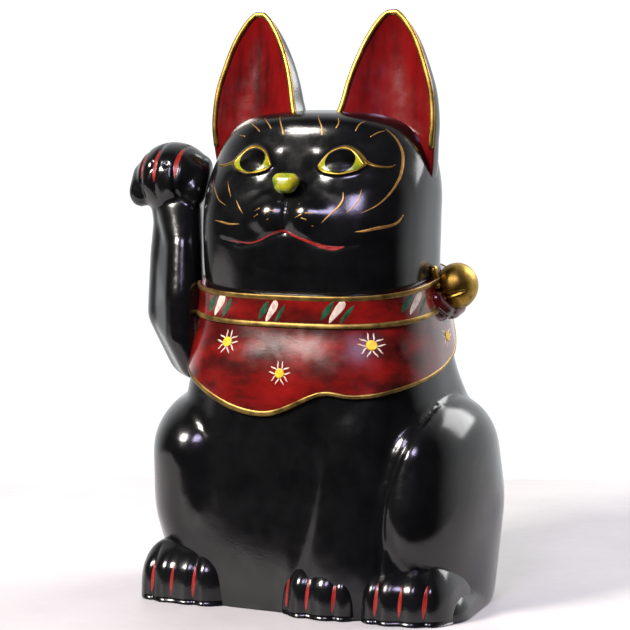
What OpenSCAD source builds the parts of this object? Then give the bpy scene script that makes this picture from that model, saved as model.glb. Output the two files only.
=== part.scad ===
// Beckoning cat figurine in fired clay.
// Two pressed shells are luted together at a parting plane and closed below by a base plate.
// The ears, raised arm, paws, tail, nose, bib, collar, knot and bell are made apart and luted on.
// The cat faces -Y, +X is its left side, and it stands on z = 0.

/* [Body] */
// Half width of the torso where it meets the floor
base_half_w = 66; // [56:1:76]
// Half width of the torso at the shoulders
shoulder_half_w = 58; // [53:1:64]
// Half width of the neck under the jaw
neck_half_w = 50; // [44:1:55]
// How far the belly stands in front of the parting plane
belly_front = 51; // [44:1:58]
// How far the back stands behind the parting plane
back_reach = 51; // [44:1:58]
// Height of the shoulders
shoulder_h = 104; // [96:1:112]
// Height of the jaw line, where the head meets the collar
jaw_h = 141; // [132:1:152]
// Thickness of the clay wall
wall = 5; // [3.5:0.5:7]

/* [Head] */
// Half width of the head at the cheeks
head_half_w = 51; // [46:1:57]
// How far the cheeks stand in front of the parting plane
face_front = 49; // [43:1:54]
// How far the nape stands behind the parting plane
nape_reach = 26; // [23:1:33]
// Height of the head from the jaw line to the crown
head_h = 76; // [66:1:86]
// Length of the muzzle's two pads from side to side, each
muzzle_pad_w = 21; // [17:1:25]
// Diameter of the nose button from side to side
nose_w = 13; // [9:0.5:15]

/* [Ears] */
// Rise of the ear tips above the crown
ear_rise = 43; // [34:1:50]
// Distance of each ear tip from the middle plane
ear_tip_x = 32; // [28:1:38]
// Distance of each ear's inner root from the middle plane
ear_root_x = 10.5; // [8:0.5:16]
// Thickness of the ear's rim
ear_rim = 3.4; // [2.6:0.2:4.6]
// Depth of the hollow in the ear's front
ear_cup = 4; // [2:0.5:6]
// Thickness of the ear from front to back at its root
ear_depth = 20; // [14:1:26]

/* [Raised arm] */
// Diameter of the forearm
arm_d = 28; // [24:1:31]
// Diameter of the wrist
wrist_d = 25; // [21:1:28]
// Width of the raised paw across its toes
paw_w = 36.5; // [32:0.5:40]
// Height of the middle of the raised paw
paw_h = 186; // [176:1:192]
// Gap between the forearm and the cheek
arm_gap = 5.5; // [4:0.5:9]

/* [Legs] */
// Half width of the figure across the haunches
haunch_half_w = 79.5; // [75:0.5:88]
// Height of the top of the haunches
haunch_h = 94; // [84:1:98]
// How far the haunches stand in front of the parting plane
haunch_front = 51; // [48:1:53]
// Diameter of the planted foreleg
foreleg_d = 38; // [33:1:41]
// Distance of the planted foreleg from the middle plane
foreleg_x = 16; // [13:1:19]
// Width of the planted paw
planted_w = 36; // [32:1:40]
// Width of each hind foot
foot_w = 43; // [38:0.5:45]
// Distance of each hind foot from the middle plane
foot_x = 50.5; // [49:0.5:56]
// Height of the feet at the instep
foot_h = 27; // [22:1:30]
// How far the toes stand in front of the parting plane
toe_front = 56; // [54:1:60]
// Toes on each paw and foot
toes = 4; // [3:1:5]

/* [Tail] */
// Diameter of the tail
tail_d = 17; // [13:1:21]
// Length of the tail's curve along the back
tail_reach = 46; // [34:1:54]

/* [Collar, bib and bell] */
// Height of the collar band
collar_h = 13.5; // [10:0.5:16]
// Slope of the collar, which sits lower at the throat than at the nape
collar_slope = 10; // [7:1:12]
// Thickness of the collar band
collar_t = 3; // [2:0.5:4.5]
// Thickness of the bib
bib_t = 2.2; // [1.5:0.1:3]
// Drop of the bib below the collar at the right forepaw's side
bib_drop = 36; // [28:1:42]
// Diameter of the bell
bell_d = 19; // [14:0.5:22]
// Width of the slit in the bell
bell_slit = 1.6; // [1:0.1:2.4]
// Length of the knot that carries the bell
knot_l = 19; // [14:1:22]
// Diameter of the knot
knot_d = 11; // [8:1:13]

/* [Base] */
// Thickness of the base plate
plate_t = 5; // [4:0.5:8]
// Diameter of the pour hole in the base plate
pour_d = 24; // [14:1:34]
// How far the pour hole sits behind the parting plane
pour_back = 20; // [17:1:26]

/* [Hidden] */

ball_fn = 20;       // facets of a clay lump
ring_points = 48;   // points round the body loft
far = 600;          // larger than the figure
bite = 0.5;         // how far a cutter runs past what it cuts
below = 10;         // how far the uncut mass runs below the floor

crown_h = jaw_h + head_h;
tip_h = crown_h + ear_rise;
collar_hi = jaw_h + 4.5;
collar_lo = collar_hi - collar_h;
throat_lo = collar_lo - belly_front * tan(collar_slope);
arm_x = head_half_w + arm_gap + arm_d / 2;
arm_y = -13.5;
paw_x = head_half_w + 4 + paw_w / 2;
paw_y = -13;

// ---- the body's outline, as stations from below the floor, where cuts run clean, to the crown ----
// Each station holds: height, half width, front reach, back reach, squareness.
function head_z(share) = jaw_h + share * head_h;
stations = [
    [-below, base_half_w, belly_front - 1, back_reach - 4, 4],
    [0, base_half_w, belly_front - 1, back_reach - 4, 4],
    [plate_t, base_half_w + 1, belly_front, back_reach - 3, 4],
    [shoulder_h * 0.45, base_half_w + 2, belly_front, back_reach, 3.6],
    [shoulder_h * 0.78, (base_half_w + shoulder_half_w) / 2 + 1, belly_front - 1, back_reach - 6, 3.2],
    [shoulder_h, shoulder_half_w, belly_front - 0.8, back_reach - 17, 2.9],
    [jaw_h - 15, neck_half_w + 4, belly_front - 5.8, nape_reach + 4, 2.8],
    [jaw_h - 5, neck_half_w + 1, face_front - 3, nape_reach, 2.9],
    [head_z(0.04), neck_half_w + 1.5, face_front - 2, nape_reach - 1, 3],
    [head_z(0.16), head_half_w + 0.5, face_front - 0.5, nape_reach - 0.5, 3],
    [head_z(0.36), head_half_w + 1, face_front, nape_reach, 2.9],
    [head_z(0.55), head_half_w + 1, face_front - 4, nape_reach, 2.8],
    [head_z(0.72), head_half_w - 1, face_front - 11, nape_reach - 1, 2.5],
    [head_z(0.85), head_half_w - 5, face_front - 16, nape_reach - 4, 2.4],
    [head_z(0.94), head_half_w - 14, face_front - 19, nape_reach - 10, 2.3],
    [head_z(0.985), head_half_w - 28, face_front - 25, nape_reach - 18, 2.2],
    [crown_h, head_half_w - 43, face_front - 34, nape_reach - 27, 2],
];

function lerp(a, b, t) = a + (b - a) * t;
function slope(i, k) =
    i == 0 || i == len(stations) - 1 ? 0
    : (stations[i + 1][k] - stations[i - 1][k]) / (stations[i + 1][0] - stations[i - 1][0]);
// A smooth curve through the stations: column k at share t between stations i and i + 1.
function smooth(i, k, t) =
    let (gap = stations[i + 1][0] - stations[i][0])
    (2 * t ^ 3 - 3 * t ^ 2 + 1) * stations[i][k] + (t ^ 3 - 2 * t ^ 2 + t) * gap * slope(i, k)
    + (3 * t ^ 2 - 2 * t ^ 3) * stations[i + 1][k] + (t ^ 3 - t ^ 2) * gap * slope(i + 1, k);
function signed_power(v, p) = sign(v) * abs(v) ^ p;
// One ring of the body: half width a, front f, back b, squareness n.
function ring(z, a, f, b, n) = [
    for (i = [0 : ring_points - 1])
        let (t = 360 * i / ring_points)
        [a * signed_power(cos(t), 2 / n), (b - f) / 2 + (b + f) / 2 * signed_power(sin(t), 2 / n), z]
];
// All rings of the body grown by a skin thickness, which is negative for the hollow.
// Above the jaw the hollow's rings are squeezed down, so the crown keeps its wall.
function grown_z(z, grow) = z <= jaw_h ? z : jaw_h + (z - jaw_h) * (head_h + grow) / head_h;
function body_rings(grow, steps) = [
    for (i = [0 : len(stations) - 2], s = [0 : steps - 1])
        let (t = s / steps)
        ring(grown_z(lerp(stations[i][0], stations[i + 1][0], t), grow),
             smooth(i, 1, t) + grow, smooth(i, 2, t) + grow, smooth(i, 3, t) + grow, smooth(i, 4, t)),
    let (last = stations[len(stations) - 1])
        ring(grown_z(last[0], grow), max(last[1] + grow, 1), max(last[2] + grow, 1),
             max(last[3] + grow, 1), last[4])
];

module skin_of_rings(rings) {
    n = len(rings[0]);
    top = len(rings) - 1;
    polyhedron(
        points = [for (r = rings) each r],
        faces = [
            [for (i = [0 : n - 1]) i],
            [for (i = [n - 1 : -1 : 0]) top * n + i],
            for (j = [0 : top - 1], i = [0 : n - 1])
                [j * n + i, (j + 1) * n + i, (j + 1) * n + (i + 1) % n],
            for (j = [0 : top - 1], i = [0 : n - 1])
                [j * n + i, (j + 1) * n + (i + 1) % n, j * n + (i + 1) % n],
        ]);
}
module body_loft(grow = 0, steps = 2) { skin_of_rings(body_rings(grow, steps)); }

module above_floor() {
    intersection() {
        children();
        translate([-far / 2, -far / 2, 0]) cube(far);
    }
}
module ball(at, r, squash = [1, 1, 1]) {
    translate(at) scale(squash) sphere(r, $fn = $fn > 0 ? $fn : ball_fn);
}
// A tube of clay through a list of [point, radius].
module clay_chain(links) {
    for (i = [0 : len(links) - 2]) hull() {
        ball(links[i][0], links[i][1]);
        ball(links[i + 1][0], links[i + 1][1]);
    }
}
module on_both_sides() {
    children();
    mirror([1, 0, 0]) children();
}

// ---- lumps that belong to the pressed shells ----
// A thigh from its outermost point to its inner reach, leaning forward over the foot.
module haunch(inner) {
    semi = (haunch_half_w - inner) / 2;
    x = haunch_half_w - semi;
    hull() {
        ball([x, 47 - haunch_front, haunch_h * 0.48], 1, [semi, 47, haunch_h * 0.46], $fn = 40);
        ball([x + 1, 46 - haunch_front, haunch_h - 29], 1, [semi - 2.5, 41, 29], $fn = 40);
        ball([x, 53 - haunch_front, 24], 1, [semi - 3, 37, 22], $fn = 40);
        ball([x - 1, 53 - haunch_front, 6], 1, [semi - 3.5, 36, 12], $fn = 40);
    }
    // The thigh's foot, which spreads at the floor beside the toes.
    hull() {
        ball([x - 1, 50 - haunch_front, 4], 1, [semi - 3.5, 32, 16]);
        ball([haunch_half_w - 19, 24 - haunch_front, 4], 1, [17, 17, 12]);
    }
}
// The standing foreleg, from the breast down to its paw, grown where the bib lies over it.
module foreleg(grow = 0) {
    links = [
        [foreleg_x + 14, shoulder_h + 10, 9],
        [foreleg_x + 13, shoulder_h * 0.93, 4.5],
        [foreleg_x + 12, shoulder_h * 0.75, 1],
        [foreleg_x + 10, shoulder_h * 0.5, -0.5],
        [foreleg_x + 7, foot_h + 2, -1.5],
        [foreleg_x + 5, foot_h - 12, -1.5],
    ];
    intersection() {
        for (i = [0 : len(links) - 2]) hull() {
            for (k = [i, i + 1])
                ball([links[k][0], 9 - belly_front - 1 + links[k][2], links[k][1]], 1,
                     [foreleg_d / 2 + grow, 9 + grow, 11]);
        }
        translate([-far / 2, -far / 2, foot_h - 5]) cube(far);
    }
}
module muzzle() {
    x = muzzle_pad_w / 2;
    on_both_sides() hull() {
        ball([x - 3, 2 - face_front, head_z(0.38)], 1, [x, 7, 9.5]);
        ball([x + 5, 6.5 - face_front, head_z(0.36)], 1, [x + 3, 7, 9.5]);
    }
}
module eyelids() {
    on_both_sides() hull() {
        ball([19, 14 - face_front, head_z(0.71)], 1, [6, 5, 4.8]);
        ball([31, 21 - face_front, head_z(0.71)], 1, [4, 4, 3.2]);
    }
}
// The whole mass of the body before it is hollowed or cut at the floor.
module clay_mass() {
    body_loft();
    haunch(haunch_half_w - 51);
    mirror([1, 0, 0]) haunch(haunch_half_w - 62);
    foreleg();
    muzzle();
    eyelids();
}
module clay_body() { above_floor() union() clay_mass(); }
// The outline of the base plate, which the shells' foot ring fits round.
module plate_outline() {
    foot = stations[0];
    polygon([for (p = ring(0, foot[1] - wall, foot[2] - wall, foot[3] - wall, foot[4])) [p[0], p[1]]]);
}
module hollow() {
    intersection() {
        body_loft(-wall);
        translate([-far / 2, -far / 2, plate_t]) cube(far);
    }
    translate([0, 0, -bite]) linear_extrude(plate_t + 2 * bite) plate_outline();
}
module in_front() { intersection() { children(); translate([-far / 2, -far, -far / 2]) cube(far); } }
module behind() { intersection() { children(); translate([-far / 2, 0, -far / 2]) cube(far); } }

// ---- the pressed shells and their base ----
module front_shell() {
    color("#17171a") in_front() difference() {
        clay_body();
        hollow();
    }
}
module back_shell() {
    color("#17171a") behind() difference() {
        clay_body();
        hollow();
    }
}
module base_plate() {
    color("#1b1a1a") difference() {
        linear_extrude(plate_t) plate_outline();
        translate([0, pour_back, -bite]) cylinder(h = plate_t + 2 * bite, d = pour_d, $fn = 64);
    }
}

// ---- ears: a rim, a sunk middle in front and a rounded back that thins towards the tip ----
function bow(a, b, c, t) = a * (1 - t) ^ 2 + b * 2 * t * (1 - t) + c * t ^ 2;
ear_steps = 6;
ear_outer = [head_half_w + 0.3, -12.5, crown_h - 15];
ear_inner = [ear_root_x, -16, crown_h];
ear_tip = [ear_tip_x, -8, tip_h - ear_rim / 2];
tip_outer = ear_tip + [3, 0, -1.4];
tip_inner = ear_tip + [-3.5, 0, -2];
ear_edge = concat(
    [for (i = [0 : ear_steps])
        bow(ear_outer, [head_half_w + 3, -11, crown_h + ear_rise * 0.55], tip_outer, i / ear_steps)],
    [ear_tip],
    [for (i = [0 : ear_steps])
        bow(tip_inner, [ear_root_x + 3, -9, crown_h + ear_rise * 0.6], ear_inner, i / ear_steps)]);
// The back of the ear behind each point of its rim; the inner side is the thicker.
function ear_behind(p, inner) =
    let (share = (tip_h - p[2]) / (tip_h - crown_h),
         depth = inner ? min(share, 1.1) ^ 0.85 : 0.68 * min(share, 1) ^ 0.4)
    [lerp(p[0], ear_tip_x, inner ? 0.2 : 0.06), p[1] + ear_depth * depth, p[2] - 1];
module ear() {
    middle = [ear_tip_x + 1, -13 + ear_cup, crown_h - 10];
    r = ear_rim / 2;
    difference() {
        for (i = [0 : len(ear_edge) - 2]) hull() {
            ball(ear_edge[i], r, $fn = 12);
            ball(ear_edge[i + 1], r, $fn = 12);
            ball(ear_behind(ear_edge[i], i > ear_steps + 1), r, $fn = 12);
            ball(ear_behind(ear_edge[i + 1], i > ear_steps), r, $fn = 12);
            ball(middle, r, $fn = 12);
            ball([ear_tip_x, -2, crown_h - 12], r, $fn = 12);
        }
        body_loft();
    }
}
module left_ear() { color("#8c1414") ear(); }
module right_ear() { color("#8c1414") mirror([1, 0, 0]) ear(); }

// ---- paws: toes side by side with grooves between them ----
// Toes stand along x, centred on x = 0, with their tips at y = 0 and the sole at z = 0.
module toe_row(width, height) {
    pitch = width / (toes + 0.1);
    r = pitch * 0.72;
    for (i = [0 : toes - 1]) {
        side = i - (toes - 1) / 2;
        x = side * (width - 2 * r) / (toes - 1);
        back = 1.4 * side * side;
        hull() {
            ball([x, r + back, r * 0.7], r);
            ball([x, r + 1 + back, height - r - 4.5 - 1.2 * side * side], r);
            ball([x * 0.95, r + 6, height - r - 1.3 * side * side], r);
            ball([x * 0.85, 28, height - r - 1.4 * side * side], r);
            ball([x * 0.9, 28, r * 0.7], r);
        }
    }
}
module foot(width, x) {
    above_floor() difference() {
        union() {
            translate([x, -toe_front, 0]) toe_row(width, foot_h);
            // The instep, which rounds off the sides.
            hull() {
                ball([x, -toe_front + 24, foot_h - 13], 1, [width / 2 - 1, 20, 13]);
                ball([x, -toe_front + 24, 4], 1, [width / 2 - 1, 20, 12]);
            }
        }
        clay_mass();
    }
}
module planted_paw() { color("#17171a") foot(planted_w, foreleg_x); }
module left_hind_foot() {
    color("#17171a") difference() {
        foot(foot_w, foot_x);
        // The inner toe stops at the planted paw.
        translate([foreleg_x + planted_w / 2 - far, -far / 2, -bite]) cube([far, far, far]);
    }
}
module right_hind_foot() { color("#17171a") foot(foot_w, -foot_x); }

// ---- raised arm ----
module raised_arm() {
    color("#17171a") difference() {
        union() {
            clay_chain([
                [[-(shoulder_half_w - 5), -1, shoulder_h - 3], arm_d / 2 - 1],
                [[-(arm_x - 6), arm_y * 0.6, shoulder_h + 4], arm_d / 2],
                [[-arm_x, arm_y, shoulder_h + 22], arm_d / 2],
                [[-arm_x, arm_y, (shoulder_h + paw_h) / 2 + 6], arm_d / 2 - 0.8],
                [[-arm_x - 1, arm_y, paw_h - 20], wrist_d / 2],
                [[-paw_x, paw_y + 2, paw_h - 6], wrist_d / 2],
            ]);
            ball([-paw_x, paw_y, paw_h], 1, [paw_w / 2 - 0.5, 16.5, 16.5]);
            for (i = [0 : toes - 1]) hull() {
                x = (i - (toes - 1) / 2) * (paw_w * 0.6) / (toes - 1);
                drop = 0.02 * x * x;
                ball([-paw_x + x, paw_y - 11.5 + drop, paw_h - 3 - drop], paw_w * 0.16);
                ball([-paw_x + x, paw_y - 8 + drop, paw_h + 7 - drop], paw_w * 0.16);
                ball([-paw_x + x * 0.9, paw_y, paw_h + 11.3 - drop], paw_w * 0.15);
            }
        }
        clay_mass();
    }
}

// ---- tail, on the back shell ----
module tail() {
    r = tail_d / 2;
    steps = 8;
    color("#17171a") above_floor() difference() {
        clay_chain([
            for (i = [0 : steps])
                let (s = i / steps, out = back_reach - 1 + 1.5 * sin(180 * s))
                [[tail_reach * (s - 0.45), out, r + 1 + 22 * s * s], r * (1 - 0.35 * s)]
        ]);
        clay_mass();
    }
}

// ---- nose ----
nose_at = [0, 2 - face_front, head_z(0.6)];
module nose() {
    color("#a8a81e") difference() {
        hull() {
            ball(nose_at, 1, [nose_w / 2, 4.4, 3.4]);
            ball(nose_at - [0, 0.4, 1.6], 1, [nose_w / 3.2, 4.2, 3.2]);
        }
        body_loft();
        muzzle();
    }
}

// ---- collar, bib, knot and bell ----
module band_zone(lo, hi) {
    rotate([collar_slope, 0, 0]) translate([-far / 2, -far / 2, lo]) cube([far, far, hi - lo]);
}
module collar() {
    color("#9a1512") intersection() {
        difference() {
            body_loft(collar_t);
            body_loft();
        }
        band_zone(collar_lo, collar_hi);
    }
}
// The bib's lower edge, seen from the front: a deep scallop over the breast and a shallower
// one over the planted foreleg, which meet in a cusp.
bib_cusp = foreleg_x + 2;
cusp_z = throat_lo - bib_drop + 9.7;
breast_x = -(shoulder_half_w + bib_cusp) / 2 + bib_cusp + 6;
function scallop(x) =
    x < breast_x ? throat_lo - bib_drop + 30 * ((breast_x - x) / (breast_x + shoulder_half_w)) ^ 2.2
    : x < bib_cusp ? lerp(throat_lo - bib_drop, cusp_z, ((x - breast_x) / (bib_cusp - breast_x)) ^ 2)
    : cusp_z - 2.2 * sin(min(180 * (x - bib_cusp) / 22, 180))
      + 13 * (max(x - bib_cusp - 14, 0) / (shoulder_half_w - bib_cusp - 14)) ^ 1.8;
module bib_window() {
    half = shoulder_half_w + bib_t + 4;
    edge = [for (i = [0 : 36]) let (x = lerp(-half, half, i / 36)) [x, scallop(x)]];
    intersection() {
        rotate([90, 0, 0]) translate([0, 0, -40]) linear_extrude(far / 2)
            polygon(concat([[half, jaw_h], [-half, jaw_h]], edge));
        // On the left side the edge climbs to the collar; on the right it stops at the raised arm.
        union() {
            rotate([90, 0, 90]) linear_extrude(far)
                polygon([[-far, 0], [-38, 0], [-36, throat_lo - 28], [-28, throat_lo - 20],
                         [-2, throat_lo - 14], [12, throat_lo - 7], [19, throat_lo + 8], [19, jaw_h],
                         [-far, jaw_h]]);
            rotate([90, 0, 90]) translate([0, 0, -far]) linear_extrude(far + bite)
                polygon([[-far, 0], [-32, 0], [-30, throat_lo - 22], [-27, throat_lo - 12],
                         [-33, throat_lo + 4], [-33, jaw_h], [-far, jaw_h]]);
        }
        rotate([collar_slope, 0, 0]) translate([-far / 2, -far / 2, 0]) cube([far, far, collar_lo]);
    }
}
module bib() {
    color("#8a1612") intersection() {
        difference() {
            union() {
                body_loft(bib_t);
                foreleg(bib_t);
            }
            clay_body();
        }
        bib_window();
    }
}

bell_at = [neck_half_w + bell_d / 2 + 0.3, 0, jaw_h];
// The knot lies on the collar's outer face, under the bell.
module collar_knot() {
    color("#8a1612") difference() {
        hull() {
            ball([neck_half_w + collar_t + 2.5, -5, collar_lo + 4], knot_d / 2);
            ball([neck_half_w + collar_t + 3, 2, collar_lo + 1], knot_d / 2);
            ball([neck_half_w + collar_t + 1.5, knot_l - 12, collar_lo + 3], knot_d / 2 - 1);
        }
        body_loft(collar_t);
        translate(bell_at) sphere(d = bell_d, $fn = 40);
    }
}
module bell() {
    color("#b8892a") difference() {
        translate(bell_at) sphere(d = bell_d, $fn = 40);
        body_loft(collar_t);
        translate(bell_at + [bell_d / 2 - 1, 0, -bell_d * 0.18]) rotate([0, -25, 0])
            cube([bell_d / 2, bell_d * 1.2, bell_slit], center = true);
    }
}

front_shell();
back_shell();
base_plate();
left_ear();
right_ear();
raised_arm();
planted_paw();
left_hind_foot();
right_hind_foot();
tail();
nose();
bib();
collar();
collar_knot();
bell();
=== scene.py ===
"""A beckoning cat in pressed, fired clay, cold-painted in black, red and gold.

Shapes are worked out in millimetres on the frame's own axes: the cat faces -Y, +X is its left
side, and it stands on z = 0. They turn to metres when a piece is finished.
"""
import logging
import math
from collections.abc import Callable, Iterable, Sequence
from dataclasses import dataclass, field
from enum import Enum

import bmesh
import bpy
from mathutils import Matrix, Vector
from mathutils.bvhtree import BVHTree
from mathutils.kdtree import KDTree


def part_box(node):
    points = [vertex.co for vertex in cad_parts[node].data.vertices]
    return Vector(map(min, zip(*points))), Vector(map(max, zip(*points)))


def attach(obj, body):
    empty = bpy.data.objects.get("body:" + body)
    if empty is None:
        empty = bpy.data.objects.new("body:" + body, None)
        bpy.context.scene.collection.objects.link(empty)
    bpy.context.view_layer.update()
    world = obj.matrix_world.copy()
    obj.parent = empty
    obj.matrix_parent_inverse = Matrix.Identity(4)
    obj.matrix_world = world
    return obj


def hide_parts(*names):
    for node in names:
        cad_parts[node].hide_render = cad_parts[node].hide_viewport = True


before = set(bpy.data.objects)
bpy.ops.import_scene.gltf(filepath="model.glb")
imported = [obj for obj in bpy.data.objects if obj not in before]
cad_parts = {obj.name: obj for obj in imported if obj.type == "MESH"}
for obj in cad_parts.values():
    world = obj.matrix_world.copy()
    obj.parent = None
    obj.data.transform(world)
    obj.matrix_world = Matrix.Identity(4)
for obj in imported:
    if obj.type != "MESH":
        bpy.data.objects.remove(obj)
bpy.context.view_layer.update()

MM = 0.001
log = logging.getLogger("cat")

# How far from the upright axis a ray starts, and how far along it the surfaces lie, roughly.
RAY_START = 200
RAY_NEAR = 150
# The thinnest stroke, how far a stroke's edges sink, and how far strokes and patches are rooted.
THINNEST = 0.12
EDGE_SINK = 0.05
STROKE_ROOT = 0.25
PATCH_ROOT = 0.3

Place = Callable[[float, float, float], Vector]


# ---------------------------------------------------------------- small shared tools
def lerp(a: float, b: float, share: float) -> float:
    """Returns the value that lies at a share of the way from a to b."""
    return a + (b - a) * share


def ease(value: float) -> float:
    """Returns a smooth step from 0 to 1 of a value held between 0 and 1."""
    held = min(max(value, 0.0), 1.0)
    return held * held * (3 - 2 * held)


def signed_power(value: float, power: float) -> float:
    """Returns the power of a number's size, with the number's own sign."""
    return math.copysign(abs(value) ** power, value)


def curve_through(points: Sequence[Sequence[float]], step: float) -> list[tuple[float, ...]]:
    """Runs a smooth curve through given points.

    Args:
        points: The points that the curve passes, each of any number of coordinates.
        step: The length between two samples.

    Returns:
        The samples along the curve, both ends included.
    """
    ends = [points[0], *points, points[-1]]
    samples: list[tuple[float, ...]] = []
    for before, start, stop, after in zip(ends, ends[1:], ends[2:], ends[3:]):
        count = max(1, math.ceil(math.dist(start, stop) / step))
        for k in range(count):
            t = k / count
            samples.append(tuple(
                0.5 * (2 * b + (c - a) * t + (2 * a - 5 * b + 4 * c - d) * t ** 2
                       + (3 * b - a - 3 * c + d) * t ** 3)
                for a, b, c, d in zip(before, start, stop, after)))
    samples.append(tuple(points[-1]))
    return samples


def along(line: Sequence[Sequence[float]], share: float) -> Vector:
    """Finds the point at a share of the way through a row of samples.

    Args:
        line: The samples.
        share: The share, held between 0 and 1.

    Returns:
        The point, in between its two nearest samples.
    """
    reach = min(max(share, 0.0), 1.0) * (len(line) - 1)
    i = min(int(reach), len(line) - 2)
    return Vector(line[i]).lerp(Vector(line[i + 1]), reach - i)


# ---------------------------------------------------------------- sizes of the figure
@dataclass(frozen=True)
class CatSizes:
    """Driving sizes in millimetres, the same as those of the CAD model."""
    base_half_w: float = 66
    shoulder_half_w: float = 58
    neck_half_w: float = 50
    belly_front: float = 51
    back_reach: float = 51
    shoulder_h: float = 104
    jaw_h: float = 141
    wall: float = 5
    head_half_w: float = 51
    face_front: float = 49
    nape_reach: float = 26
    head_h: float = 76
    haunch_half_w: float = 79.5
    haunch_h: float = 94
    haunch_front: float = 51
    foreleg_d: float = 38
    foreleg_x: float = 16
    foot_h: float = 27
    plate_t: float = 5
    collar_slope: float = 10
    collar_h: float = 13.5
    collar_t: float = 3
    bib_t: float = 2.2

    def head_z(self, share: float) -> float:
        """Returns the height at a share of the way from the jaw to the crown."""
        return self.jaw_h + share * self.head_h

    @property
    def crown_h(self) -> float:
        """The height of the crown between the ears."""
        return self.jaw_h + self.head_h

    @property
    def collar_top(self) -> float:
        """The height of the collar's upper edge in the middle plane of the neck."""
        return self.jaw_h + 4.5

    @property
    def collar_low(self) -> float:
        """The height of the collar's lower edge in the middle plane of the neck."""
        return self.collar_top - self.collar_h


@dataclass(frozen=True)
class Station:
    """One level outline of the body: a superellipse about the parting plane."""
    height: float
    half_w: float
    front: float
    back: float
    square: float

    def point(self, angle: float, grow: float = 0) -> Vector:
        """Finds the outline's point at an angle round the body.

        Args:
            angle: The angle round the upright axis.
            grow: How far the outline is grown outwards.

        Returns:
            The point, at the station's height.
        """
        half = max(self.half_w + grow, 0.5)
        front = max(self.front + grow, 0.5)
        back = max(self.back + grow, 0.5)
        x = half * signed_power(math.cos(angle), 2 / self.square)
        y = (back - front) / 2 + (back + front) / 2 * signed_power(math.sin(angle), 2 / self.square)
        return Vector((x, y, self.height))


class BodyProfile:
    """The smooth outline that the torso, neck and head share."""

    def __init__(self, s: CatSizes) -> None:
        """Sets the stations from the floor to the crown.

        Args:
            s: The figure's driving sizes.
        """
        self.stations = [
            Station(-10, s.base_half_w, s.belly_front - 1, s.back_reach - 4, 4),
            Station(0, s.base_half_w, s.belly_front - 1, s.back_reach - 4, 4),
            Station(s.plate_t, s.base_half_w + 1, s.belly_front, s.back_reach - 3, 4),
            Station(s.shoulder_h * 0.45, s.base_half_w + 2, s.belly_front, s.back_reach, 3.6),
            Station(s.shoulder_h * 0.78, (s.base_half_w + s.shoulder_half_w) / 2 + 1,
                    s.belly_front - 1, s.back_reach - 6, 3.2),
            Station(s.shoulder_h, s.shoulder_half_w, s.belly_front - 0.8, s.back_reach - 17, 2.9),
            Station(s.jaw_h - 15, s.neck_half_w + 4, s.belly_front - 5.8, s.nape_reach + 4, 2.8),
            Station(s.jaw_h - 5, s.neck_half_w + 1, s.face_front - 3, s.nape_reach, 2.9),
            Station(s.head_z(0.04), s.neck_half_w + 1.5, s.face_front - 2, s.nape_reach - 1, 3),
            Station(s.head_z(0.16), s.head_half_w + 0.5, s.face_front - 0.5, s.nape_reach - 0.5, 3),
            Station(s.head_z(0.36), s.head_half_w + 1, s.face_front, s.nape_reach, 2.9),
            Station(s.head_z(0.55), s.head_half_w + 1, s.face_front - 4, s.nape_reach, 2.8),
            Station(s.head_z(0.72), s.head_half_w - 1, s.face_front - 11, s.nape_reach - 1, 2.5),
            Station(s.head_z(0.85), s.head_half_w - 5, s.face_front - 16, s.nape_reach - 4, 2.4),
            Station(s.head_z(0.94), s.head_half_w - 14, s.face_front - 19, s.nape_reach - 10, 2.3),
            Station(s.head_z(0.985), s.head_half_w - 28, s.face_front - 25, s.nape_reach - 18, 2.2),
            Station(s.crown_h, s.head_half_w - 43, s.face_front - 34, s.nape_reach - 27, 2),
        ]

    def at(self, height: float) -> Station:
        """Works out the outline at any height, by a smooth curve through the stations.

        Args:
            height: The height above the floor.

        Returns:
            The outline there.
        """
        row = self.stations
        last = len(row) - 2
        i = next((k for k in range(last) if height < row[k + 1].height), last)
        gap = row[i + 1].height - row[i].height
        t = min(max((height - row[i].height) / gap, 0), 1)

        def rate(k: int, name: str) -> float:
            """Works out how fast a size grows with height at a station.

            Args:
                k: The station's place in the row.
                name: The size's name.

            Returns:
                The growth for each millimetre, which is 0 at both ends of the row.
            """
            if k == 0 or k == len(row) - 1:
                return 0
            rise = row[k + 1].height - row[k - 1].height
            return (getattr(row[k + 1], name) - getattr(row[k - 1], name)) / rise

        def blend(name: str) -> float:
            """Returns one size at this height."""
            a, b = getattr(row[i], name), getattr(row[i + 1], name)
            return ((2 * t ** 3 - 3 * t ** 2 + 1) * a + (t ** 3 - 2 * t ** 2 + t) * gap * rate(i, name)
                    + (3 * t ** 2 - 2 * t ** 3) * b + (t ** 3 - t ** 2) * gap * rate(i + 1, name))

        return Station(height, blend("half_w"), blend("front"), blend("back"), blend("square"))


# ---------------------------------------------------------------- shaping in bmesh
def wrap_ball(bm: bmesh.types.BMesh, rows: int, turns: int, place: Place) -> None:
    """Adds a ball whose points are placed by a rule, so that it is closed at both poles.

    Args:
        bm: The mesh that gains the shape.
        rows: The number of rings from pole to pole.
        turns: The number of points round each ring.
        place: Gives a point from its share of the way up, its angle, and 0 at a pole or 1.
    """
    ball = bmesh.ops.create_uvsphere(bm, u_segments=turns, v_segments=rows, radius=1)
    for v in ball["verts"]:
        share = math.asin(min(max(v.co.z, -1), 1)) / math.pi + 0.5
        at_pole = v.co.xy.length < 1e-4
        v.co = place(share, math.atan2(v.co.y, v.co.x), 0.0 if at_pole else 1.0)


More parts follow.
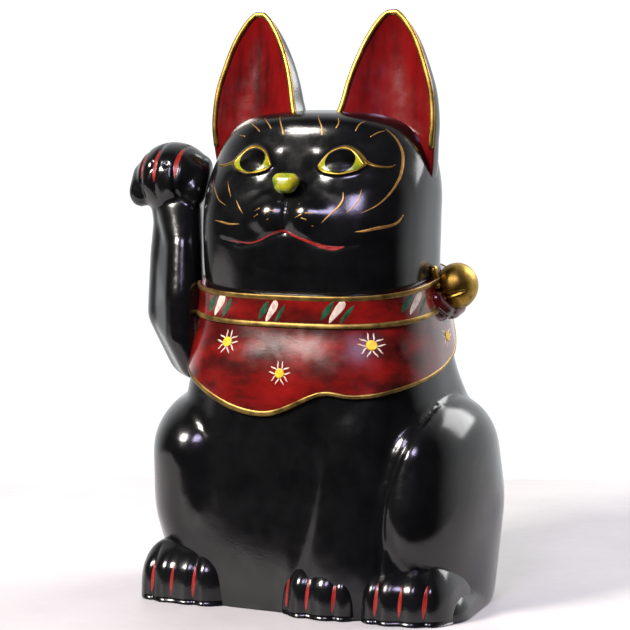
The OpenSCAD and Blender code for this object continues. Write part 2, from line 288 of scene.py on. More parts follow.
def ellipsoid(bm: bmesh.types.BMesh, centre: Sequence[float], semi: Sequence[float],
              turns: int = 48) -> None:
    """Adds an ellipsoid.

    Args:
        bm: The mesh that gains it.
        centre: Its middle.
        semi: Its half sizes along x, y and z.
        turns: The points round its waist.
    """
    matrix = Matrix.Translation(centre) @ Matrix.Diagonal((*semi, 1))
    bmesh.ops.create_uvsphere(bm, u_segments=turns, v_segments=turns // 2, radius=1, matrix=matrix)


def merge_into(bm: bmesh.types.BMesh, other: bmesh.types.BMesh) -> None:
    """Adds another mesh's shape to a mesh.

    Args:
        bm: The mesh that gains the shape.
        other: The other mesh, which is freed.
    """
    mesh = bpy.data.meshes.new("merge")
    other.to_mesh(mesh)
    other.free()
    bm.from_mesh(mesh)
    bpy.data.meshes.remove(mesh)


def add_hull(bm: bmesh.types.BMesh,
             lumps: Iterable[tuple[Sequence[float], Sequence[float]]], turns: int = 48) -> None:
    """Adds the skin stretched over several ellipsoids.

    Args:
        bm: The mesh that gains it.
        lumps: The centre and half sizes of each ellipsoid.
        turns: The points round each ellipsoid's waist.
    """
    part = bmesh.new()
    for centre, semi in lumps:
        ellipsoid(part, centre, semi, turns)
    skin = bmesh.ops.convex_hull(part, input=part.verts)
    spare = {g for g in skin["geom_interior"] + skin["geom_unused"] if g.is_valid}
    inner = [g for g in spare if isinstance(g, bmesh.types.BMVert)]
    bmesh.ops.delete(part, geom=inner, context="VERTS")
    bmesh.ops.recalc_face_normals(part, faces=part.faces)
    merge_into(bm, part)


def fuse(bm: bmesh.types.BMesh, voxel: float) -> bmesh.types.BMesh:
    """Turns overlapping lumps into one skin, as wet clay is smoothed over.

    Args:
        bm: The closed lumps, which are freed.
        voxel: The size of the new skin's faces.

    Returns:
        A new mesh of one skin.
    """
    mesh = bpy.data.meshes.new("lumps")
    bm.to_mesh(mesh)
    bm.free()
    lumps = bpy.data.objects.new("lumps", mesh)
    bpy.context.scene.collection.objects.link(lumps)
    remesh = lumps.modifiers.new("skin", "REMESH")
    remesh.mode = "VOXEL"
    remesh.voxel_size = voxel
    skin = bmesh.new()
    skin.from_object(lumps, bpy.context.evaluated_depsgraph_get())
    bpy.data.objects.remove(lumps)
    bpy.data.meshes.remove(mesh)
    return skin


def soften(bm: bmesh.types.BMesh, rounds: int,
           inside: Callable[[Vector], bool] | None = None) -> None:
    """Rubs a skin smooth, all over or only where a rule says so.

    Args:
        bm: The skin.
        rounds: How many times it is rubbed.
        inside: Tells whether a point is rubbed. Without it, every point is.
    """
    verts = [v for v in bm.verts if inside is None or inside(v.co)]
    for _ in range(rounds):
        bmesh.ops.smooth_vert(bm, verts=verts, factor=0.5,
                              use_axis_x=True, use_axis_y=True, use_axis_z=True)


def cut_at_floor(bm: bmesh.types.BMesh, level: float = 0.0) -> list[bmesh.types.BMEdge]:
    """Cuts a shape off flat below a level.

    Args:
        bm: The shape.
        level: The height of the cut.

    Returns:
        The cut's edges, which stay crisp.
    """
    cut = bmesh.ops.bisect_plane(bm, geom=bm.verts[:] + bm.edges[:] + bm.faces[:],
                                 plane_co=(0, 0, level), plane_no=(0, 0, -1), clear_outer=True)
    rim = [g for g in cut["geom_cut"] if isinstance(g, bmesh.types.BMEdge)]
    for edge in rim:
        edge.smooth = False
    return rim


def skin_tree(bm: bmesh.types.BMesh) -> BVHTree:
    """Returns the tree that rays are cast on, of a mesh as it now is."""
    return BVHTree.FromBMesh(bm)


class Aim(Enum):
    """How a flat drawing is laid on a surface."""
    FRONT = "along +Y, where a drawing's point is x and z"
    ROUND = "towards the upright axis, where a drawing's point is the arc from the front and z"


@dataclass(frozen=True)
class Canvas:
    """A surface that paint or a sheet of clay is laid on."""
    tree: BVHTree
    aim: Aim = Aim.FRONT
    radius: float = 54.0

    def ray(self, u: float, v: float) -> tuple[Vector, Vector]:
        """Works out the ray through a drawing's point.

        Args:
            u: The point's place across the drawing.
            v: Its height.

        Returns:
            The ray's start and direction.
        """
        if self.aim is Aim.FRONT:
            return Vector((u, -RAY_START, v)), Vector((0, 1, 0))
        angle = u / self.radius
        out = Vector((math.sin(angle), -math.cos(angle), 0))
        return out * RAY_START + Vector((0, 0, v)), -out

    def hit(self, u: float, v: float) -> tuple[Vector, Vector]:
        """Finds the surface under a drawing's point.

        Args:
            u: The point's place across the drawing.
            v: Its height.

        Returns:
            The surface's point there, and its outward normal.
        """
        start, way = self.ray(u, v)
        place, normal, _, _ = self.tree.ray_cast(start, way)
        if place is None:
            place, normal, _, _ = self.tree.find_nearest(start + way * RAY_NEAR)
        return place, normal if normal.dot(way) < 0 else -normal


def drape(bm: bmesh.types.BMesh, verts: Sequence[bmesh.types.BMVert], canvas: Canvas,
          spot: Callable[[bmesh.types.BMVert], tuple[float, float, float]], depth: float) -> None:
    """Lays a sheet on a surface and closes it with a back that lies under the surface.

    Args:
        bm: The mesh that holds the sheet.
        verts: The sheet's points.
        canvas: The surface.
        spot: Gives a point's place in the drawing, and how far it stands proud there.
        depth: How far the sheet's back lies under the surface.
    """
    rises, ways = {}, {}
    for v in verts:
        u, w, rises[v] = spot(v)
        v.co, ways[v] = canvas.hit(u, w)
    faces = list({f for v in verts for f in v.link_faces})
    for f in faces:
        f.normal_update()
    facing = sum(f.normal.dot(ways[f.verts[0]]) for f in faces)
    if facing < 0:
        bmesh.ops.reverse_faces(bm, faces=faces)
    for v in verts:
        v.normal_update()
    normals = {v: (v.normal if v.normal.length > 0.5 else ways[v]).copy() for v in verts}
    copy = bmesh.ops.duplicate(bm, geom=faces)
    back = [f for f in copy["geom"] if isinstance(f, bmesh.types.BMFace)]
    for v in verts:
        copy["vert_map"][v].co = v.co - normals[v] * depth
        v.co = v.co + normals[v] * rises[v]
    bmesh.ops.reverse_faces(bm, faces=back)
    rims = {e for f in faces + back for e in f.edges if e.is_boundary}
    bmesh.ops.bridge_loops(bm, edges=list(rims))


def lay_stroke(bm: bmesh.types.BMesh, canvas: Canvas, points: Sequence[tuple[float, float, float]],
               crown: float = 0.22, lift: float = 0.0, step: float = 0.7) -> None:
    """Lays one loaded brush stroke: a ribbon crowned in the middle, with its edges sunk.

    Args:
        bm: The mesh that gains the stroke.
        canvas: The surface under it.
        points: The stroke's middle line, each point with the stroke's width there.
        crown: How far the middle of the paint stands proud.
        lift: How far the whole stroke stands off the surface, over older paint.
        step: The length between two rings of the ribbon.
    """
    line = curve_through(points, step)
    last = len(line) - 1
    grid = bmesh.ops.create_grid(bm, x_segments=last, y_segments=6, size=1)

    def spot(v: bmesh.types.BMVert) -> tuple[float, float, float]:
        """Places a point of the ribbon.

        Args:
            v: The point, in the flat grid.

        Returns:
            Its place in the drawing, and how far it stands proud there.
        """
        i = round((v.co.x + 1) / 2 * last)
        side = v.co.y
        u, w, width = line[i]
        run = Vector(line[min(i + 1, last)][:2]) - Vector(line[max(i - 1, 0)][:2])
        run.normalize()
        half = max(width, THINNEST) / 2
        rise = lift + crown * (1 - side ** 2) * min(1.0, width) - EDGE_SINK
        return u - run.y * side * half, w + run.x * side * half, rise

    drape(bm, grid["verts"], canvas, spot, STROKE_ROOT)


def resample(points: Sequence[Sequence[float]], count: int) -> list[tuple[float, float]]:
    """Returns evenly spread points along the smooth curve through some points."""
    fine = curve_through(points, 0.1)
    return [fine[round(k / (count - 1) * (len(fine) - 1))][:2] for k in range(count)]


def lay_patch(bm: bmesh.types.BMesh, canvas: Canvas, low: Sequence[tuple[float, float]],
              high: Sequence[tuple[float, float]], rise: float, rows: int = 10,
              step: float = 0.7) -> None:
    """Lays a filled patch between a lower and an upper edge that share their ends.

    Args:
        bm: The mesh that gains the patch.
        canvas: The surface under it.
        low: The lower edge's points.
        high: The upper edge's points.
        rise: How far the patch stands proud of the surface.
        rows: The number of faces from edge to edge.
        step: The length between two columns.
    """
    last = max(len(curve_through(low, step)), len(curve_through(high, step)))
    edges = [resample(edge, last + 1) for edge in (low, high)]
    grid = bmesh.ops.create_grid(bm, x_segments=last, y_segments=rows, size=1)

    def spot(v: bmesh.types.BMVert) -> tuple[float, float, float]:
        """Places a point of the patch.

        Args:
            v: The point, in the flat grid.

        Returns:
            Its place in the drawing, and how far it stands proud there.
        """
        i = round((v.co.x + 1) / 2 * last)
        share = (v.co.y + 1) / 2
        (u0, w0), (u1, w1) = edges[0][i], edges[1][i]
        return lerp(u0, u1, share), lerp(w0, w1, share), rise

    drape(bm, grid["verts"], canvas, spot, PATCH_ROOT)
    bmesh.ops.dissolve_degenerate(bm, edges=bm.edges, dist=0.01)


def sweep(bm: bmesh.types.BMesh, path: Sequence[tuple[Vector, Vector]], half_w: float,
          half_t: float, flare: Callable[[float], float] = lambda share: 1.0,
          turns: int = 14) -> None:
    """Sweeps a closed bead of oval section along a path.

    Args:
        bm: The mesh that gains the bead.
        path: Each point of the middle line with the outward normal there.
        half_w: Half the bead's width along the surface.
        half_t: Half the bead's thickness.
        flare: Gives how many times as wide the bead is at a share of its length.
        turns: The points round the bead.
    """
    last = len(path) - 1

    def place(share: float, angle: float, reach: float) -> Vector:
        """Places a point of the bead's skin.

        Args:
            share: The share of the way along the bead.
            angle: The angle round it.
            reach: 0 at either end point, and 1 elsewhere.

        Returns:
            The point.
        """
        i = min(int(round(share * last)), last)
        middle, normal = path[i]
        run = path[min(i + 1, last)][0] - path[max(i - 1, 0)][0]
        across = run.cross(normal).normalized()
        wide = half_w * flare(share)
        return middle + reach * (across * math.cos(angle) * wide + normal * math.sin(angle) * half_t)

    wrap_ball(bm, last, turns, place)


@dataclass(frozen=True)
class Groove:
    """A line pressed into soft clay, or raised where its depth is negative."""
    points: tuple[tuple[float, float, float], ...]
    depth: float
    aim: Aim = Aim.FRONT

    def press(self, bm: bmesh.types.BMesh) -> None:
        """Presses the groove into a skin. Each point of the line carries the groove's width.

        Args:
            bm: The skin.
        """
        canvas = Canvas(skin_tree(bm), self.aim)
        line = curve_through(self.points, 0.5)
        finder = KDTree(len(line))
        for i, (u, v, _) in enumerate(line):
            finder.insert(canvas.hit(u, v)[0], i)
        finder.balance()
        bm.normal_update()
        moves = []
        for vert in bm.verts:
            _, i, far = finder.find(vert.co)
            share = 2 * far / line[i][2]
            if share < 1:
                moves.append((vert, vert.normal * self.depth * (1 - share ** 2) ** 2))
        for vert, move in moves:
            vert.co -= move


# ---------------------------------------------------------------- finishes
def linear(hex_colour: str) -> tuple[float, float, float, float]:
    """Turns an sRGB hex colour to linear light.

    Args:
        hex_colour: The colour, as a hash sign and six digits.

    Returns:
        Its red, green and blue, and full opacity.
    """
    parts = [int(hex_colour[i:i + 2], 16) / 255 for i in (1, 3, 5)]
    light = [p / 12.92 if p <= 0.04045 else ((p + 0.055) / 1.055) ** 2.4 for p in parts]
    return (*light, 1.0)


def add_node(tree: bpy.types.NodeTree, kind: str, inputs: dict[str, object] | None = None,
             stops: Sequence[tuple[float, str]] = (), **settings: object) -> bpy.types.Node:
    """Adds one node with its settings, values and links.

    Args:
        tree: The node tree that gains it.
        kind: The node's type name.
        inputs: A value or a socket to link for each named input.
        stops: The places and hex colours of a colour ramp.
        **settings: Attributes of the node itself.

    Returns:
        The new node.
    """
    node = tree.nodes.new(kind)
    for name, value in settings.items():
        setattr(node, name, value)
    for name, value in (inputs or {}).items():
        if isinstance(value, bpy.types.NodeSocket):
            tree.links.new(value, node.inputs[name])
        else:
            node.inputs[name].default_value = value
    for k, (place, colour) in enumerate(stops):
        ramp = node.color_ramp.elements
        stop = ramp[k] if k < 2 else ramp.new(place)
        stop.position = place
        stop.color = linear(colour)
    return node


@dataclass(frozen=True)
class Paint:
    """A coat of paint on fired clay: mottled colour, uneven gloss and a fine grit.

    Attributes:
        name: What the coat is and how it was put on.
        stops: Hex colours against the mottling's strength.
        patch_mm: The size of the mottling's patches.
        stretch: How much shorter the patches are along x, y and z.
        gloss: The roughness at its glossiest and at its dullest.
        grit_mm: The size of the grit and dust caught in the coat.
        grit_height_mm: How high that grit stands.
        wave_mm: The size of the slow unevenness of the hand-rubbed clay below.
        wave_height_mm: How high that unevenness stands.
        metallic: 1 for a coat of metal powder, 0 for any other.
        coat: The share of a clear varnish over the paint.
        coat_gloss: The varnish's roughness.
        dull_mm: The size of the patches of uneven gloss.
    """
    name: str
    stops: tuple[tuple[float, str], ...]
    patch_mm: float
    stretch: tuple[float, float, float] = (1, 1, 1)
    gloss: tuple[float, float] = (0.25, 0.4)
    grit_mm: float = 0.8
    grit_height_mm: float = 0.03
    wave_mm: float = 11
    wave_height_mm: float = 0.12
    metallic: float = 0
    coat: float = 0
    coat_gloss: float = 0.1
    dull_mm: float = 6

    def build(self) -> bpy.types.Material:
        """Builds the coat as a node material on object coordinates.

        Returns:
            The material.
        """
        material = bpy.data.materials.new(self.name)
        material.use_nodes = True
        tree = material.node_tree
        shader = tree.nodes["Principled BSDF"]
        where = add_node(tree, "ShaderNodeTexCoord").outputs["Object"]
        turned = add_node(tree, "ShaderNodeMapping", {"Vector": where, "Scale": self.stretch})
        patches = add_node(tree, "ShaderNodeTexNoise", {
            "Vector": turned.outputs["Vector"], "Scale": 1 / (self.patch_mm * MM),
            "Detail": 4.0, "Roughness": 0.6})
        colour = add_node(tree, "ShaderNodeValToRGB", {"Fac": patches.outputs["Fac"]}, self.stops)
        tree.links.new(colour.outputs["Color"], shader.inputs["Base Color"])
        dull = add_node(tree, "ShaderNodeTexNoise", {
            "Vector": where, "Scale": 1 / (self.dull_mm * MM), "Detail": 3.0})
        gloss = add_node(tree, "ShaderNodeMapRange", {
            "Value": dull.outputs["Fac"], "From Min": 0.3, "From Max": 0.7,
            "To Min": self.gloss[0], "To Max": self.gloss[1]})
        tree.links.new(gloss.outputs["Result"], shader.inputs["Roughness"])
        wave = add_node(tree, "ShaderNodeTexNoise", {
            "Vector": where, "Scale": 1 / (self.wave_mm * MM), "Detail": 1.0})
        slow = add_node(tree, "ShaderNodeBump", {
            "Height": wave.outputs["Fac"], "Distance": self.wave_height_mm * MM, "Strength": 1.0})
        grit = add_node(tree, "ShaderNodeTexNoise", {
            "Vector": where, "Scale": 1 / (self.grit_mm * MM), "Detail": 2.0})
        fine = add_node(tree, "ShaderNodeBump", {
            "Height": grit.outputs["Fac"], "Distance": self.grit_height_mm * MM, "Strength": 1.0,
            "Normal": slow.outputs["Normal"]})
        tree.links.new(fine.outputs["Normal"], shader.inputs["Normal"])
        shader.inputs["Metallic"].default_value = self.metallic
        if self.coat:
            shader.inputs["Coat Weight"].default_value = self.coat
            shader.inputs["Coat Roughness"].default_value = self.coat_gloss
            tree.links.new(fine.outputs["Normal"], shader.inputs["Coat Normal"])
        return material


@dataclass
class Palette:
    """Every coat on the figure, each made once."""

    # Black pigment in resin, brushed on fired clay: semi-gloss, with grit that breaks up glints.
    lacquer: bpy.types.Material = field(default_factory=lambda: Paint(
        "black_resin_lacquer_brushed", ((0.35, "#070708"), (0.7, "#101011")), 14,
        gloss=(0.13, 0.22), grit_mm=0.9, grit_height_mm=0.024, wave_height_mm=0.07).build())
    # The same black under a drop of varnish, for the wet look of the pupils.
    pupil: bpy.types.Material = field(default_factory=lambda: Paint(
        "black_resin_varnished", ((0.35, "#040404"), (0.7, "#0a0a0a")), 6,
        gloss=(0.12, 0.2), grit_height_mm=0.01, wave_height_mm=0.03).build())
    # Red over black undercoat, rubbed thin in places, under varnish: dark clouds, wet gloss.
    red: bpy.types.Material = field(default_factory=lambda: Paint(
        "red_paint_over_black_varnished",
        ((0.3, "#240705"), (0.45, "#4e0b08"), (0.6, "#740e0b"), (0.78, "#8e1411")), 15,
        stretch=(0.6, 1, 1.3), gloss=(0.16, 0.26), grit_mm=0.8, grit_height_mm=0.022,
        wave_height_mm=0.045, coat=1.0).build())
    # The same red in a thinner wash inside the ears: streaks run up the ear, and it dries glossy.
    ear_red: bpy.types.Material = field(default_factory=lambda: Paint(
        "red_wash_brushed_upwards",
        ((0.3, "#3c0708"), (0.5, "#660a0b"), (0.72, "#7c0d0e")), 9,
        stretch=(1, 1, 0.22), gloss=(0.13, 0.22), grit_mm=0.8, grit_height_mm=0.02).build())
    # Brass powder in varnish, brushed along each edge: bright metal with brown thin spots.
    gold: bpy.types.Material = field(default_factory=lambda: Paint(
        "brass_powder_gold_brushed", ((0.3, "#6b5424"), (0.5, "#9c7c36"), (0.75, "#c0a050")), 5,
        stretch=(1, 1, 0.6), gloss=(0.3, 0.45), grit_mm=0.6, grit_height_mm=0.03,
        metallic=1).build())
    # A darker, duller copy of the brass-powder gold for the collar and bib edges: painted shade,
    # olive-brown where the gold elsewhere is lit bright.
    gold_in_painted_shade: bpy.types.Material = field(default_factory=lambda: Paint(
        "brass_powder_gold_painted_shade", ((0.3, "#4e3d1a"), (0.5, "#7c6330"), (0.75, "#a2874a")), 6,
        gloss=(0.34, 0.5), grit_mm=0.6, grit_height_mm=0.03, metallic=0.85).build())
    # Thin gold line paint, drawn with a fine brush: copper-brown where the black shows through.
    line_gold: bpy.types.Material = field(default_factory=lambda: Paint(
        "brass_powder_line_thin", ((0.35, "#85602e"), (0.6, "#b08440")), 3,
        gloss=(0.35, 0.5), grit_mm=0.6, grit_height_mm=0.02, metallic=0.6).build())
    # Lacquer-red claws and lips, painted into the grooves.
    claw_red: bpy.types.Material = field(default_factory=lambda: Paint(
        "red_paint_in_grooves", ((0.3, "#6c1410"), (0.7, "#a0241d")), 3,
        gloss=(0.25, 0.35), grit_height_mm=0.015).build())
    # Yellow-green enamel of the nose and eyes, streaked where green lies under yellow.
    eye_green: bpy.types.Material = field(default_factory=lambda: Paint(
        "yellow_green_enamel_streaked",
        ((0.34, "#3f5a10"), (0.46, "#7c8812"), (0.62, "#a39a1c"), (0.75, "#b08f1c")), 4,
        stretch=(1, 1, 0.7), gloss=(0.2, 0.3), grit_height_mm=0.02).build())
    # Chalk white with a little red bled through.
    cream: bpy.types.Material = field(default_factory=lambda: Paint(
        "chalk_white_on_red", ((0.3, "#b9968a"), (0.6, "#ddd0bd")), 2.5,
        gloss=(0.4, 0.5), grit_height_mm=0.02).build())
    green: bpy.types.Material = field(default_factory=lambda: Paint(
        "leaf_green_on_red", ((0.35, "#12301c"), (0.65, "#24583a")), 3,
        gloss=(0.3, 0.4), grit_height_mm=0.02).build())
    yellow: bpy.types.Material = field(default_factory=lambda: Paint(
        "flower_yellow_dab", ((0.3, "#c89a08"), (0.65, "#f0c800")), 2,
        gloss=(0.35, 0.45), grit_height_mm=0.03).build())
    # The underside: fired clay under one thin wash of black, dry and matt.
    clay: bpy.types.Material = field(default_factory=lambda: Paint(
        "fired_clay_black_wash", ((0.3, "#1a1817"), (0.6, "#35302c")), 9,
        gloss=(0.7, 0.85), grit_mm=1.0, grit_height_mm=0.12).build())


# ---------------------------------------------------------------- sub-assemblies
@dataclass
class SubAssembly:
    """A group of pieces that are built and dressed together."""
    sizes: CatSizes
    profile: BodyProfile
    palette: Palette

    def keep(self, name: str, bm: bmesh.types.BMesh, coats: Sequence[bpy.types.Material], slot: str,
             stands_for: Sequence[str] = (), mend: bool = False) -> bpy.types.Object:
        """Turns a finished shape into a piece that rides on the figure's one body.

        Args:
            name: The piece's name.
            bm: Its shape in millimetres, which is freed.
            coats: Its materials, by the index that its faces hold.
            slot: Not used; the material slot that it shows.
            stands_for: The CAD nodes that it stands for.
            mend: Whether its faces are turned outwards first.

        Returns:
            The piece's object.
        """
        if mend:
            bmesh.ops.recalc_face_normals(bm, faces=bm.faces)
        bmesh.ops.scale(bm, vec=(MM, MM, MM), verts=bm.verts)
        for face in bm.faces:
            face.smooth = True
        mesh = bpy.data.meshes.new(name)
        bm.to_mesh(mesh)
        bm.free()
        for coat in coats:
            mesh.materials.append(coat)
        piece = bpy.data.objects.new(name, mesh)
        bpy.context.scene.collection.objects.link(piece)
        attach(piece, "root")
        if stands_for:
            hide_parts(*stands_for)
        log.info("%s: %d faces", name, len(mesh.polygons))
        return piece

    def loft(self, bm: bmesh.types.BMesh, low: float, high: float) -> None:
        """Adds the shared body outline between two heights as one closed shape.

        Args:
            bm: The mesh that gains it.
            low: The lower height.
            high: The upper height.
        """
        rows, turns = 72, 160

        def place(share: float, angle: float, reach: float) -> Vector:
            """Places a point of the body's skin.

            Args:
                share: The share of the way up.
                angle: The angle round the upright axis.
                reach: 0 at either end point, and 1 elsewhere.

            Returns:
                The point.
            """
            up = min(max((share * rows - 1) / (rows - 2), 0), 1)
            return self.profile.at(lerp(low, high, up)).point(angle) * reach + Vector(
                (0, 0, lerp(low, high, up))) * (1 - reach)

        wrap_ball(bm, rows, turns, place)

    def neck_cut(self, bm: bmesh.types.BMesh, keep_below: bool) -> None:
        """Cuts a skin across the neck, in the middle of the collar, and caps it.

        Args:
            bm: The skin.
            keep_below: Whether the part below the cut is the one that stays.
        """
        middle = (self.sizes.collar_top + self.sizes.collar_low) / 2
        tilt = Matrix.Rotation(math.radians(self.sizes.collar_slope), 3, "X")
        cut = bmesh.ops.bisect_plane(
            bm, geom=bm.verts[:] + bm.edges[:] + bm.faces[:], plane_co=tilt @ Vector((0, 0, middle)),
            plane_no=tilt @ Vector((0, 0, 1)), clear_outer=keep_below, clear_inner=not keep_below)
        rim = [g for g in cut["geom_cut"] if isinstance(g, bmesh.types.BMEdge)]
        bmesh.ops.edgeloop_fill(bm, edges=rim)


@dataclass
class Torso(SubAssembly):
    """The two pressed shells below the collar: belly, back, haunches and standing foreleg."""
    voxel: float = 1.25
    # The body's outline is built from below the floor to inside the head, and then cut.
    loft_low: float = -10
    loft_high: float = 165
    left_thigh_w: float = 51
    right_thigh_w: float = 62
    right_forward: float = 3
    # The well over the base plate narrows a little towards its roof.
    well_roof: float = 60
    well_taper: float = 0.86
    tree: BVHTree | None = None

    def haunch(self, bm: bmesh.types.BMesh, inner: float, side: int, forward: float = 0) -> None:
        """Adds a thigh.

        Args:
            bm: The mesh that gains it.
            inner: How far from the middle plane it starts.
            side: 1 for the cat's left, -1 for its right.
            forward: How much further forward it bulges.
        """
        s = self.sizes
        semi = (s.haunch_half_w - inner) / 2
        x = s.haunch_half_w - semi
        front = s.haunch_front
        add_hull(bm, [
            # The thigh's body, the bulge above it, its lower end and its foot on the floor.
            ((side * x, 47 - front, s.haunch_h * 0.48), (semi, 47, s.haunch_h * 0.46)),
            ((side * (x + 1), 46 - front - forward, s.haunch_h - 29), (semi - 2.5, 42 + forward, 29)),
            ((side * x, 53 - front, 24), (semi - 3, 37, 22)),
            ((side * (x - 1), 53 - front, 4), (semi - 3.5, 36, 14)),
        ], 64)
        # The low ridge from the thigh to the hind foot.
        add_hull(bm, [
            ((side * (x - 1), 50 - front, 2), (semi - 3.5, 32, 16)),
            ((side * (s.haunch_half_w - 19), 24 - front, 2), (17, 17, 13)),
        ])

    def foreleg(self, bm: bmesh.types.BMesh) -> None:
        """Adds the standing foreleg, from the breast to the paw.

        Args:
            bm: The mesh that gains it.
        """
        s = self.sizes
        links = [
            (s.foreleg_x + 14, 9, s.shoulder_h + 10), (s.foreleg_x + 13, 4.5, s.shoulder_h * 0.93),
            (s.foreleg_x + 12, 1, s.shoulder_h * 0.75), (s.foreleg_x + 10, -0.5, s.shoulder_h * 0.5),
            (s.foreleg_x + 7, -1.5, s.foot_h + 2), (s.foreleg_x + 5, -1.5, s.foot_h - 12),
            (s.foreleg_x + 5, -1.0, 0),
        ]
        lumps = [((x, 8 - s.belly_front + y, z), (s.foreleg_d / 2, 9, 11)) for x, y, z in links]
        for pair in zip(lumps, lumps[1:]):
            add_hull(bm, pair, 32)

    def build(self) -> None:
        """Builds the torso's skin, with its foot ring open for the base plate."""
        s = self.sizes
        bm = bmesh.new()
        self.loft(bm, self.loft_low, self.loft_high)
        self.haunch(bm, s.haunch_half_w - self.left_thigh_w, 1)
        self.haunch(bm, s.haunch_half_w - self.right_thigh_w, -1, self.right_forward)
        self.foreleg(bm)
        bm = fuse(bm, self.voxel)
        soften(bm, 4)
        # Rubbed softer: the breast over the foreleg, the belly beside it, the right thigh, the back.
        soften(bm, 14, lambda p: p.z > 84 and -10 < p.x < 62 and p.y < -20)
        soften(bm, 12, lambda p: -4 < p.x < 24 and p.y < -40)
        soften(bm, 16, lambda p: p.x < -16 and p.y < -26 and p.z < 92)
        soften(bm, 8, lambda p: p.y > 4)
        for groove in self.grooves():
            groove.press(bm)
        self.neck_cut(bm, keep_below=True)
        self.open_foot(bm)
        self.tree = skin_tree(bm)
        self.keep("torso", bm, [self.palette.lacquer], "front_shell", ("front_shell", "back_shell"))

    def grooves(self) -> list[Groove]:
        """Lists the lines pressed in round the legs.

        Returns:
            The grooves, in the order they are pressed.
        """
        return [
            # The crease round the front of the left thigh, sharp and narrow.
            Groove(((60.5, 91, 2), (57.4, 82.4, 4.4), (52.8, 72.3, 5), (49.5, 61.5, 5),
                    (46, 47.7, 5), (44.7, 27, 5), (44, 2, 5)), 1.1),
            # The foreleg's inner side, a slow hollow from the bib down to the paw.
            Groove(((16.5, 96, 8), (15, 75, 11), (13.7, 58.9, 13), (11, 40, 13), (8.4, 23.9, 11),
                    (7, 2, 9)), 0.55),
        ]

    def open_foot(self, bm: bmesh.types.BMesh) -> None:
        """Cuts the torso at the floor and sinks a well for the base plate.

        Args:
            bm: The torso's skin.
        """
        s = self.sizes
        rim = cut_at_floor(bm)
        plate = Station(0, s.base_half_w - s.wall, s.belly_front - 1 - s.wall,
                        s.back_reach - 4 - s.wall, 4)
        middle = Vector((0, (plate.back - plate.front) / 2, 0))
        for level, share in ((0, 1.0), (s.plate_t, 1.0), (self.well_roof, self.well_taper)):
            ring = bmesh.ops.extrude_edge_only(bm, edges=rim)["geom"]
            rim = [g for g in ring if isinstance(g, bmesh.types.BMEdge)]
            for v in (g for g in ring if isinstance(g, bmesh.types.BMVert)):
                off = v.co - middle
                angle = math.atan2(off.y / (plate.back + plate.front) * 2, off.x / plate.half_w)
                power = plate.square / 2
                turn = math.atan2(signed_power(math.sin(angle), power),
                                  signed_power(math.cos(angle), power))
                flat = (plate.point(turn) - middle) * share + middle
                v.co = Vector((flat.x, flat.y, level))
        bmesh.ops.edgeloop_fill(bm, edges=rim)


@dataclass
class BasePlate(SubAssembly):
    """The plate that closes the foot ring, with its pour hole. Its CAD shape is right as it is."""

    def dress(self) -> None:
        """Gives the CAD plate its clay wash."""
        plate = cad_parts["base_plate"]
        plate.data.materials.clear()
        plate.data.materials.append(self.palette.clay)
        log.info("base_plate: dressed")


@dataclass
class Head(SubAssembly):
    """The head above the collar, with the face modelled into it."""
    voxel: float = 0.95
    # The outline starts inside the neck, below the cut.
    loft_low: float = 112
    # Each eye is a mound that rises over the width of its lid and swells on towards the middle.
    lid_w: float = 1.6
    mound_rise: float = 1.7
    swell_rise: float = 0.9
    swell_w: float = 6
    tree: BVHTree | None = None

    def build(self) -> None:
        """Builds the head's skin and presses the face into it."""
        s = self.sizes
        bm = bmesh.new()
        self.loft(bm, self.loft_low, s.crown_h)
        for side in (1, -1):
            # The muzzle's two pads.
            add_hull(bm, [
                ((side * 8, 4.4 - s.face_front, s.head_z(0.385)), (10, 7.5, 10)),
                ((side * 18, 8.6 - s.face_front, s.head_z(0.37)), (14, 7.5, 9.5)),
            ])
        # The chin under the mouth.
        add_hull(bm, [((-9, 9 - s.face_front, s.head_z(0.13)), (14, 9, 9)),
                      ((9, 9 - s.face_front, s.head_z(0.13)), (14, 9, 9))])
        bm = fuse(bm, self.voxel)
        soften(bm, 10)
        # The muzzle and cheeks are rubbed softer than the rest.
        soften(bm, 24, lambda p: p.y < -26 and p.z < 190)
        self.raise_eyes(bm)
        for groove in self.grooves():
            groove.press(bm)
        soften(bm, 2)
        self.neck_cut(bm, keep_below=False)
        self.tree = skin_tree(bm)
        self.keep("head", bm, [self.palette.lacquer], "front_shell")

    def grooves(self) -> list[Groove]:
        """Lists the lines and hollows pressed into the face.

        Returns:
            The grooves, in the order they are pressed.
        """
        lines = [
            # The line from the nose to the mouth.
            Groove(((0, 181, 3), (0, 172, 2.6), (0, 164.5, 2.2)), 0.8),
        ]
        for side in (1, -1):
            lines += [
                # The mouth, from its peak out past the corner.
                Groove(tuple((side * x, z, w) for x, z, w in (
                    (0, 164.8, 2.6), (5, 163.4, 3), (11.5, 160.8, 3.2), (17, 159.2, 3.4),
                    (22, 158.5, 3.4), (27, 159.3, 3), (33, 160.6, 1.6))), 0.8),
                # The hollow between the nose and the inner corner of the eye.
                Groove(((side * 8, 197, 10), (side * 9, 190, 13), (side * 12, 184, 13)), 0.5),
                # The hollow under the eye.
                Groove(((side * 15, 186, 8), (side * 23, 185, 10), (side * 32, 187, 9)), 0.35),
            ]
        return lines

    def raise_eyes(self, bm: bmesh.types.BMesh) -> None:
        """Raises each eye as an almond that swells in the middle.

        Args:
            bm: The head's skin.
        """
        for v in bm.verts:
            if v.co.y > -10:
                continue
            deep = Eye.depth_inside(abs(v.co.x), v.co.z)
            if deep > -self.lid_w:
                v.co.y -= (self.mound_rise * ease((deep + self.lid_w) / (self.lid_w + 1))
                           + self.swell_rise * ease(deep / self.swell_w))


